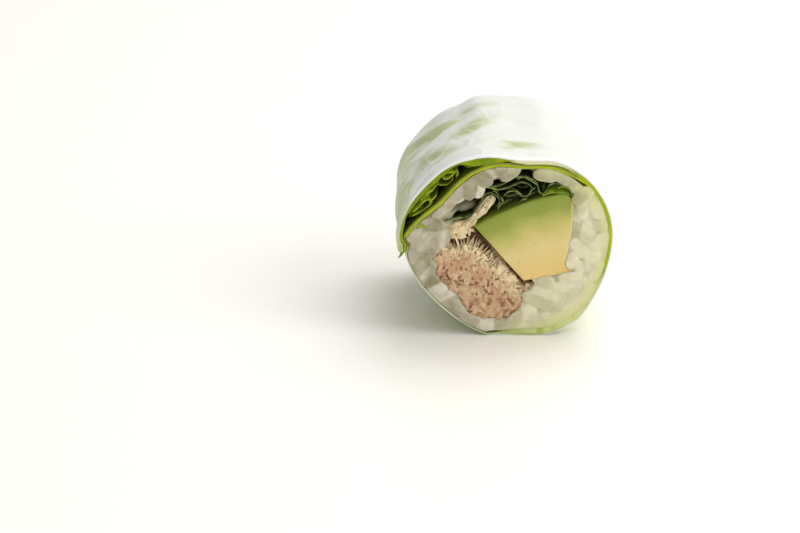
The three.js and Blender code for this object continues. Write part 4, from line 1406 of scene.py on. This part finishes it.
def add_rice_cut(name, sign, seed, material, avocado, near_cut):
    """The grains that a cut shows, sliced off flat by the knife."""
    shape, shape_faces = grain_shape(14, 11)
    outline = rice_outline(sign * (HALF - 1.5))
    random = np.random.default_rng(seed + 10)
    middles, headings, sizes = packed_grains(rice_room(outline, avocado), seed)
    bodies = [rice_backing(sign, near_cut)]
    for middle, heading, (length, width) in zip(middles, headings, sizes):
        size = (length * 1.03, width * 1.06, width * random.uniform(0.92, 1.04))
        points = oriented(shape, heading, size, random) + middle
        points += (points - middle) * (0.07 * noise(points / 1.6, seed))[:, None]
        bodies.append((points, shape_faces))
    points, quads = melted(*joined(bodies), STICKY_VOXEL, 3)
    owner, seam = grain_at(points, middles, headings, sizes)
    x, z, depth = points.T
    domed = 0.3 - 0.42 * (1 - np.exp(np.minimum(depth - 0.3, 0) / 0.42))
    depth = np.where(depth < 0.3, domed, depth)
    loose = loosely_packed(x, z, 27)
    squeezed = depth * (0.55 + 0.45 * loose)
    behind = smoothstep(0.9, 1.8, squeezed)
    points, inside = kept_within(field(x, sign * (HALF - squeezed), z), outline)
    looks = rice_looks(points, inside, behind, middles, owner, seam, random)
    add_piece(name, points, quads[:, ::-sign].tolist(), material, ["rice"], looks,
              crease=180)


def add_rice(material, avocado):
    near_cut = round_fillings([TUNA, avocado[::4], HERB_HOLLOW], -0.3)
    add_rice_cut("rice_front_cut", -1, 91, material, avocado, near_cut)
    add_rice_cut("rice_back_cut", 1, 92, material, avocado, near_cut)
    y_values = np.linspace(-HALF + 6.4, HALF - 6.4, 20)
    hole = round_fillings([TUNA, avocado[::4]], 0.2)
    middle = rice_outline(0, 0.15)
    shifts = [np.vstack([rice_outline(y, 0.15) - middle, 0 * hole]) for y in y_values]
    points, faces = block([middle, hole], y_values, 2.0, np.array(shifts))
    none = 0 * points[:, 0]
    add_piece("rice_middle", points, faces, material, ["rice"],
              dict.fromkeys(("leafward", "tone", "seam", "painted_herb_shade"), none))


# ------------------------------------------------------------------ tuna
AVOCADO_SIDE = np.array([AVOCADO_TIP, AVOCADO_FOOT])  # its lower left side, from its top down


def from_avocado(places):
    """How far (n, 2) places are from the avocado's lower left side, and how far down it."""
    a, b = AVOCADO_SIDE
    s = np.clip((places - a) @ (b - a) / ((b - a) @ (b - a)), 0, 1)
    return np.linalg.norm(places - a - s[:, None] * (b - a), axis=1), s


# The open slots between the standing fibres, from the left to the avocado's side, and the half
# width of the gap there.
SLOTS = spline([
    (-13.8, 24.3, 0.5), (-11.8, 23.9, 0.55), (-9.8, 24.5, 0.85), (-7.7, 25.2, 1.25),
    (-5.7, 24.0, 1.35), (-4.2, 22.2, 1.0), (-2.9, 20.4, 0.45), (-1.8, 19.2, 0.1),
], False, 60)


def from_slots(places):
    """How far (n, 2) places are outside the open slots and the narrow gap at the avocado."""
    away, _ = from_avocado(places)
    return np.minimum(away_from(places, SLOTS[:, :2], SLOTS[:, 2]), away - 0.3)


def fibre_shape(sides, rings):
    """A unit fibre, blunt at both ends."""
    s = np.linspace(-1, 1, rings)
    return turned_body(s, np.clip(1 - np.abs(s) ** 3, 0.12, 1), sides, 1.05)


def tapered(points):
    """Draws the far half of a fibre to a fine point."""
    share = np.clip(1.1 - 0.62 * (points[:, :1] + 1) / 1.1, 0.12, 1)
    return np.hstack([points[:, :1], points[:, 1:] * share])


def laid_bits(shape, laid, random, grooved=0.1):
    """Many sized and turned copies of a shape as one: laid gives middle, heading and size."""
    unit, faces = shape
    bodies = []
    for middle, heading, size in laid:
        points = oriented(unit, np.array(heading), size, random) + middle
        points += (points - middle) * (grooved * noise(points / 0.55, 111))[:, None]
        bodies.append((points, faces))
    return joined(bodies)


def flat_heading(turned, tipped):
    """A direction turned in section from +x, and tipped back from the cut."""
    return [math.cos(turned), math.sin(turned), math.sin(tipped)]


def tuna_places(random, count, margin, gap):
    """Places in the tuna's section, kept off its outline and off the open slots."""
    found = []
    while len(found) < count:
        place = random.uniform([-18, 3], [9, 32])
        if clearance(place[None], TUNA)[0] > margin and from_slots(place[None])[0] > gap:
            found.append(place)
    return found


# Lumps and threads at the tuna's cut: how many, how far from its outline and its slots, the
# least and most depth, the heading and tilt with their spread, then the least and most length,
# width and height.
TUNA_LUMPS = (280, 0.5, 0.45, (0.5, 1.3), (1.1, 0.9), (0, 0.4), (1.2, 3.2), (0.8, 1.6), (0.7, 1.3))
TUNA_THREADS = (430, 0.9, 0.2, (0.05, 0.6), (1.2, 0.9), (-0.2, 0.4), (1.0, 2.6), (0.34, 0.7),
                (0.34, 0.6))


def strewn(random, count, margin, gap, depth, turned, tipped, *sizes):
    """Bits strewn over the tuna's section: their middles, headings and sizes."""
    return [
        ((*place, random.uniform(*depth)),
         flat_heading(random.normal(*turned), random.normal(*tipped)),
         [random.uniform(*size) for size in sizes])
        for place in tuna_places(random, count, margin, gap)
    ]


def tuna_looks(points, depth, crumbs, outline):
    """What the tuna's finish needs at every point: how pale it is, and how dark with brown specks
    and painted shade in its recesses, slots and crevice.
    """
    x, z, _ = points.T
    away, down = from_avocado(points[:, :2])
    slotted = from_slots(points[:, :2])
    rosy = smoothstep(2.5, 8, away) * smoothstep(0.8, 3.5, slotted)
    upper = smoothstep(25.4, 27.4, z)
    creamy = 0.5 * falling(1.5, 6.0, np.minimum(away, slotted + 1)) + 0.4 * upper
    creamy = creamy - 0.3 * rosy * (1 - upper) + 0.36 * noise(points / 2.3, 104)
    specks = smoothstep(0.72, 0.9, noise(points / 0.75, 105))
    # Brown marks, with a painted shadow at the tuna's left tip and painted shade in the narrow
    # crevice along the avocado.
    brown_and_painted_shade = 0.4 * smoothstep(29.3, 30.2, z) * falling(-10, -9, x)
    brown_and_painted_shade = brown_and_painted_shade + 0.9 * bell(np.hypot(x - 5.8, z - 12.9), 0, 2.4)
    brown_and_painted_shade = brown_and_painted_shade + 0.3 * falling(-16.8, -15.6, x)
    brown_and_painted_shade = brown_and_painted_shade + 0.8 * falling(0.4, 1.3, away) * smoothstep(0.4, 0.6, down)
    inside = smoothstep(0.1, 0.9, clearance(points[:, :2], outline))
    # Deeper places are painted darker: painted shade in the recesses.
    dark = 0.3 * (depth - 0.7) * inside + 0.16 * crumbs - 0.08 + 0.4 * specks
    dark = np.clip(dark + brown_and_painted_shade * (0.8 + 0.6 * crumbs), 0, 0.85)
    # The open slots and the gap by the avocado are painted dark: painted shade in them.
    gap = falling(-0.1, 0.35, slotted)
    wide = smoothstep(0.3, 1.0, away) * falling(-2.4, -0.6, x)
    dark = np.maximum(dark, gap * (0.55 + 0.45 * wide) * smoothstep(0.5, 1.4, depth))
    return {"tone": np.clip(0.4 + creamy, 0, 1), "depth": dark}


def add_tuna_cut(name, sign, seed, material):
    """The cut end of the tuna: lumps and threads pressed into one crumbly mass."""
    random = np.random.default_rng(seed)
    lumps = strewn(random, *TUNA_LUMPS)
    threads = strewn(random, *TUNA_THREADS)
    outline = spline(TUNA, True, 200)
    backing, faces = block([outline], np.linspace(1.0, 5.0, 7), 0.6)
    on_front = backing[:, 1] < 1.1
    backing[:, 1] += on_front * 1.7 * falling(0, 0.5, from_slots(backing[:, [0, 2]]))
    bodies = [depth_last(backing, faces)]
    bodies.append(laid_bits(grain_shape(10, 8), lumps, random))
    bodies.append(laid_bits(fibre_shape(6, 7), threads, random))
    points, quads = melted(*joined(bodies), CRUMBLY_VOXEL, 1)
    crumbs = noise(points / 0.9, 101) + 0.6 * noise(points / 0.45, 102)
    points[:, 2] += 0.09 * crumbs * (points[:, 2] < 4)
    x, z, depth = points.T
    depth = np.where(depth < 0, -0.3 * (1 - np.exp(np.minimum(depth, 0) / 0.3)), depth)
    looks = tuna_looks(points, depth, crumbs, outline)
    points = field(x, sign * (HALF - depth), z)
    add_piece(name, points, quads[:, ::-sign].tolist(), material, ["tuna"], looks,
              crease=180)


def flat_fibre(random, place, turned, length, depths):
    """A fibre at a place in section: its middle, heading and size."""
    wide = random.uniform(0.42, 0.72)
    middle = (*place, random.uniform(*depths))
    return middle, flat_heading(turned, random.normal(0, 0.15)), (length, wide, wide * 0.75)


def standing_fibres(random, count, shortest, longest, depths):
    """Fibres that fan out over the open slots, one beside the other."""
    laid = []
    for share in np.linspace(0.0, 0.97, count):
        middle = SLOTS[int(share * 59), :2] + random.normal(0, 0.22, 2)
        to = middle - np.array([-10.5, 15.5])
        turned = math.atan2(to[1], to[0]) + random.normal(0, 0.16)
        length = random.uniform(shortest, longest)
        place = middle - to / np.linalg.norm(to) * length * random.uniform(-0.1, 0.32)
        laid.append(flat_fibre(random, place, turned, length, depths))
    return laid


def fringe(random, count, shortest, longest, depths):
    """Short fibres that lie across towards the avocado, lower down."""
    a, b = AVOCADO_SIDE
    run = (b - a) / np.linalg.norm(b - a)
    towards = np.array([-run[1], run[0]])
    across = math.atan2(towards[1], towards[0])
    laid = []
    while len(laid) < count:
        s = random.uniform(0.4, 0.92)
        length = random.uniform(shortest, longest)
        turned = across + random.normal(0.2, 0.25)
        place = a + (b - a) * s - towards * random.uniform(0.2, 1.2)
        place = place - np.array([math.cos(turned), math.sin(turned)]) * length / 2
        if clearance(place[None], TUNA)[0] >= 0.2:
            laid.append(flat_fibre(random, place, turned, length, depths))
    return laid


def strand(random, line, count):
    """Fibres side by side along a line: a stick of tuna, brown at its far end."""
    laid, tones, brown = [], [], []
    for _ in range(count):
        at = random.integers(2, len(line) - 2)
        step = line[at + 1] - line[at - 1]
        off = random.normal(0, 0.42, 2)
        turned = math.atan2(step[1], step[0]) + random.normal(0, 0.16)
        wide = random.uniform(0.5, 1.0)
        laid.append(((*(line[at] + off), random.uniform(-0.2, 1.2)),
                     flat_heading(turned, random.normal(0, 0.12)),
                     (random.uniform(1.4, 3.4), wide, wide * 0.8)))
        # Fibres right of the stick's line are painted paler: painted light on its lit side.
        tones.append(1.0 + 0.1 * (off[0] > 0) + random.uniform(-0.25, 0.1))
        brown.append(0.7 * smoothstep(0.78, 1, at / len(line)) - 0.1)
    return laid, tones, brown


TUNA_STICK = [(-9.2, 28.9), (-6.6, 31.3), (-4.7, 33.8), (-3.6, 35.8)]
ACROSS_SLOT = spline([(-10.9, 22.9), (-11.5, 24.7), (-12.1, 26.6)], False, 12)[6]
# Single fibres that lie apart: x, z and depth, heading, size, how pale and how brown.
STRAY_FIBRES = [
    ((*ACROSS_SLOT, -0.05), 1.9, (4.2, 0.5, 0.42), 0.95, 0.0),
    ((-8.6, 27.6, 0.2), 1.5, (3.0, 0.6, 0.5), 0.95, 0.1),
    ((-14.3, 14.5, 0.0), -0.05, (3.4, 0.34, 0.34), 0.4, 0.45),
    ((-11.3, 14.1, 0.0), -0.45, (3.2, 0.42, 0.4), 0.3, 0.6),
]


def cut_fibres(sign, seed):
    """The fibres at one cut: their points and faces, how pale they are, and how brown and how deep
    in painted shade.
    """
    random = np.random.default_rng(seed)
    blades = standing_fibres(random, 22, 2.8, 4.6, (0.0, 0.6))
    blades += standing_fibres(random, 18, 2.0, 3.6, (0.6, 1.4))
    blades += fringe(random, 34, 1.2, 2.6, (0.1, 1.0))
    tones = random.uniform(0.5, 0.95, len(blades)).tolist()
    brown = random.uniform(0.0, 0.25, len(blades)).tolist()
    sticks, stick_tones, stick_brown = strand(random, spline(TUNA_STICK, False, 30), 52)
    sticks += [(place, flat_heading(turned, 0.0), size)
               for place, turned, size, _, _ in STRAY_FIBRES]
    tones += stick_tones + [stray[3] for stray in STRAY_FIBRES]
    brown += stick_brown + [stray[4] for stray in STRAY_FIBRES]
    fibre, faces = fibre_shape(7, 10)
    points, faces = joined([laid_bits((tapered(fibre), faces), blades, random, 0.06),
                            laid_bits((fibre, faces), sticks, random, 0.06)])
    x, z, depth = points.T
    away, down = from_avocado(points[:, :2])
    by_avocado = falling(0.3, 1.3, away) * smoothstep(0.05, 0.15, down)
    # Deeper fibres and those by the avocado are painted darker: painted shade, besides their
    # brown.
    shaded = 0.2 * np.maximum(depth - 1.0, 0) + 0.6 * by_avocado + np.repeat(brown, len(fibre))
    body = field(x, sign * (HALF - depth), z), [face[::-sign] for face in faces]
    return body, np.repeat(tones, len(fibre)), shaded


def add_tuna_fibres(material):
    """Loose fibres that stand up towards the avocado, and the strand that points past it."""
    bodies, tones, shaded = zip(cut_fibres(-1, 131), cut_fibres(1, 132))
    points, faces = joined(bodies)
    add_piece("tuna_fibres", points, faces, material, ["tuna"],
              {"tone": np.concatenate(tones), "depth": np.clip(np.concatenate(shaded), 0, 0.8)},
              crease=180)


def add_tuna(material):
    add_tuna_cut("tuna_front_cut", -1, 121, material)
    add_tuna_cut("tuna_back_cut", 1, 122, material)
    add_tuna_fibres(material)
    y_values = np.linspace(-HALF + 4.6, HALF - 4.6, 40)
    points, faces = block([spline(TUNA, True, 160)], y_values, 1.5)
    add_piece("tuna_middle", points, faces, material, ["tuna"],
              {"tone": 0.3 + 0 * points[:, 0], "depth": 0.8 + 0 * points[:, 0]})


# ------------------------------------------------------------------ the roll
film = film_material()
lettuce = leaf_material("lettuce_fresh_blade", "7a9a02", "567400", "eef0b6", "b3c21a",
                        net_shows=0.05)
# The pocket's lettuce and the scrap: a lighter copy of the lettuce's colours, painted light for
# the glow through the leaves in the pocket.
folded = leaf_material("lettuce_blade_painted_lit", "94aa0a", "5a7602", "9db024", "a9b428")
# The herbs: their dark green taken down to near black as painted shade for the leaves in the
# hollow, and a lighter copy, painted light, for the leaves on the right that face the light.
herb = leaf_material("herb_leaf_dark_and_painted_shade", "38450c", "0a0e03", "46541c", "86955a", net_shows=0.04)
lit_herb = leaf_material("herb_leaf_painted_lit", "8caa1c", "5a780a", "9cb048", "9aa850")
rice_grain = rice_material()
flesh = avocado_material()
meat = tuna_material()

add_rice_paper(film)
add_lettuce_leaf(lettuce)
add_lettuce_inner(lettuce)
add_lettuce_fold(folded)
add_thin_leaves("lettuce_fold_rims", POCKET_LEAVES, 0.36, folded, inset=0.4,
                in_pocket=True)
add_thin_leaves("lettuce_scrap", [(THIN_LEAVES["lettuce_scrap"], (0, -0.3))], 0.6, folded,
                ["lettuce_scrap"], inset=-0.42)
for name in ("herb_leaf_top", "herb_leaf_middle", "herb_leaf_low", "herb_leaf_loop"):
    add_thin_leaves(name, [(THIN_LEAVES[name], (0, 0))], 0.26, herb, [name], inset=0.25,
                    droop=0.2)
add_thin_leaves("herb_curls", HERB_CURLS, 0.22, herb, inset=0.2)
add_thin_leaves("herb_young", LIT_HERB_LEAVES, 0.3, lit_herb, inset=0.3)
add_thin_leaves("herb_on_tuna", ON_THE_TUNA, 0.35, herb, inset=0.0)
add_thin_leaves("herb_bed", HERB_BED, 0.4, herb, inset=3.4, droop=1.2)
avocado_line = add_avocado(flesh)
add_rice(rice_grain, avocado_line)
add_tuna(meat)


# ------------------------------------------------------------------ floor, lights and camera
def add_floor():
    """A pale table top, moulded acrylic: nearly white, with a faint soft reflection."""
    mesh = bpy.data.meshes.new("table_top")
    left, right, near, far = -4, 4, -2, 6
    corners = [(left, near, 0), (right, near, 0), (right, far, 0), (left, far, 0)]
    mesh.from_pydata(corners, [], [[0, 1, 2, 3]])
    material, tree = new_material("acrylic_moulded_table")
    place = put(tree, "ShaderNodeTexCoord", out="Object")
    grain = put(tree, "ShaderNodeTexNoise", Vector=place, Scale=per_mm(40), Detail=3.0)
    rough = put(tree, "ShaderNodeMapRange", Value=grain, To_Min=0.28, To_Max=0.4)
    surface = put(tree, "ShaderNodeBsdfPrincipled", Base_Color=linear("fdfaf4"), Roughness=rough,
                  IOR=1.45)
    put(tree, "ShaderNodeOutputMaterial", Surface=surface)
    mesh.materials.append(material)
    floor = bpy.data.objects.new("table_top", mesh)
    bpy.context.scene.collection.objects.link(floor)


def add_softbox(name, place, aim, size, power, colour):
    light = bpy.data.lights.new(name, "AREA")
    light.shape = "RECTANGLE"
    light.size, light.size_y = size
    light.energy = power
    light.color = linear(colour)[:3]
    lamp = bpy.data.objects.new(name, light)
    lamp.location = place
    lamp.rotation_euler = (Vector(aim) - Vector(place)).to_track_quat("-Z", "Y").to_euler()
    bpy.context.scene.collection.objects.link(lamp)


add_floor()
add_softbox("softbox_over", (0.3, 0.38, 0.88), (0, 0, 0.02), (0.8, 0.7), 5.2, "ffffff")
add_softbox("softbox_right", (0.66, -0.25, 0.54), (0, 0, 0.02), (0.5, 0.5), 2.7, "fffdf8")

world = bpy.data.worlds.new("studio")
world.use_nodes = True
sky = world.node_tree
sky.nodes.clear()
looking = put(sky, "ShaderNodeTexCoord", out="Generated")
sideways = put(sky, "ShaderNodeSeparateXYZ", Vector=looking, out="X")
glow = put(sky, "ShaderNodeMapRange", Value=sideways, From_Min=-0.8, From_Max=0.6, To_Min=0.4,
           To_Max=0.8)
backdrop = put(sky, "ShaderNodeBackground", Color=linear("ffffff"), Strength=glow)
put(sky, "ShaderNodeOutputWorld", Surface=backdrop)
bpy.context.scene.world = world
bpy.context.scene.view_settings.view_transform = "Standard"

CAMERA_AIM = (-25.4, -22.5, 18.3)
CAMERA_AWAY = 550
LOOKS_DOWN = math.radians(21.8)
camera = bpy.data.objects.new("camera", bpy.data.cameras.new("camera"))
camera.data.lens = 101.4
camera.data.sensor_width = 36
camera.data.clip_start = 0.01
back_off = Vector((0, -math.cos(LOOKS_DOWN), math.sin(LOOKS_DOWN))) * CAMERA_AWAY
camera.location = (Vector(CAMERA_AIM) + back_off) * MM
camera.rotation_euler = (math.pi / 2 - LOOKS_DOWN, 0, 0)
bpy.context.scene.collection.objects.link(camera)
bpy.context.scene.camera = camera
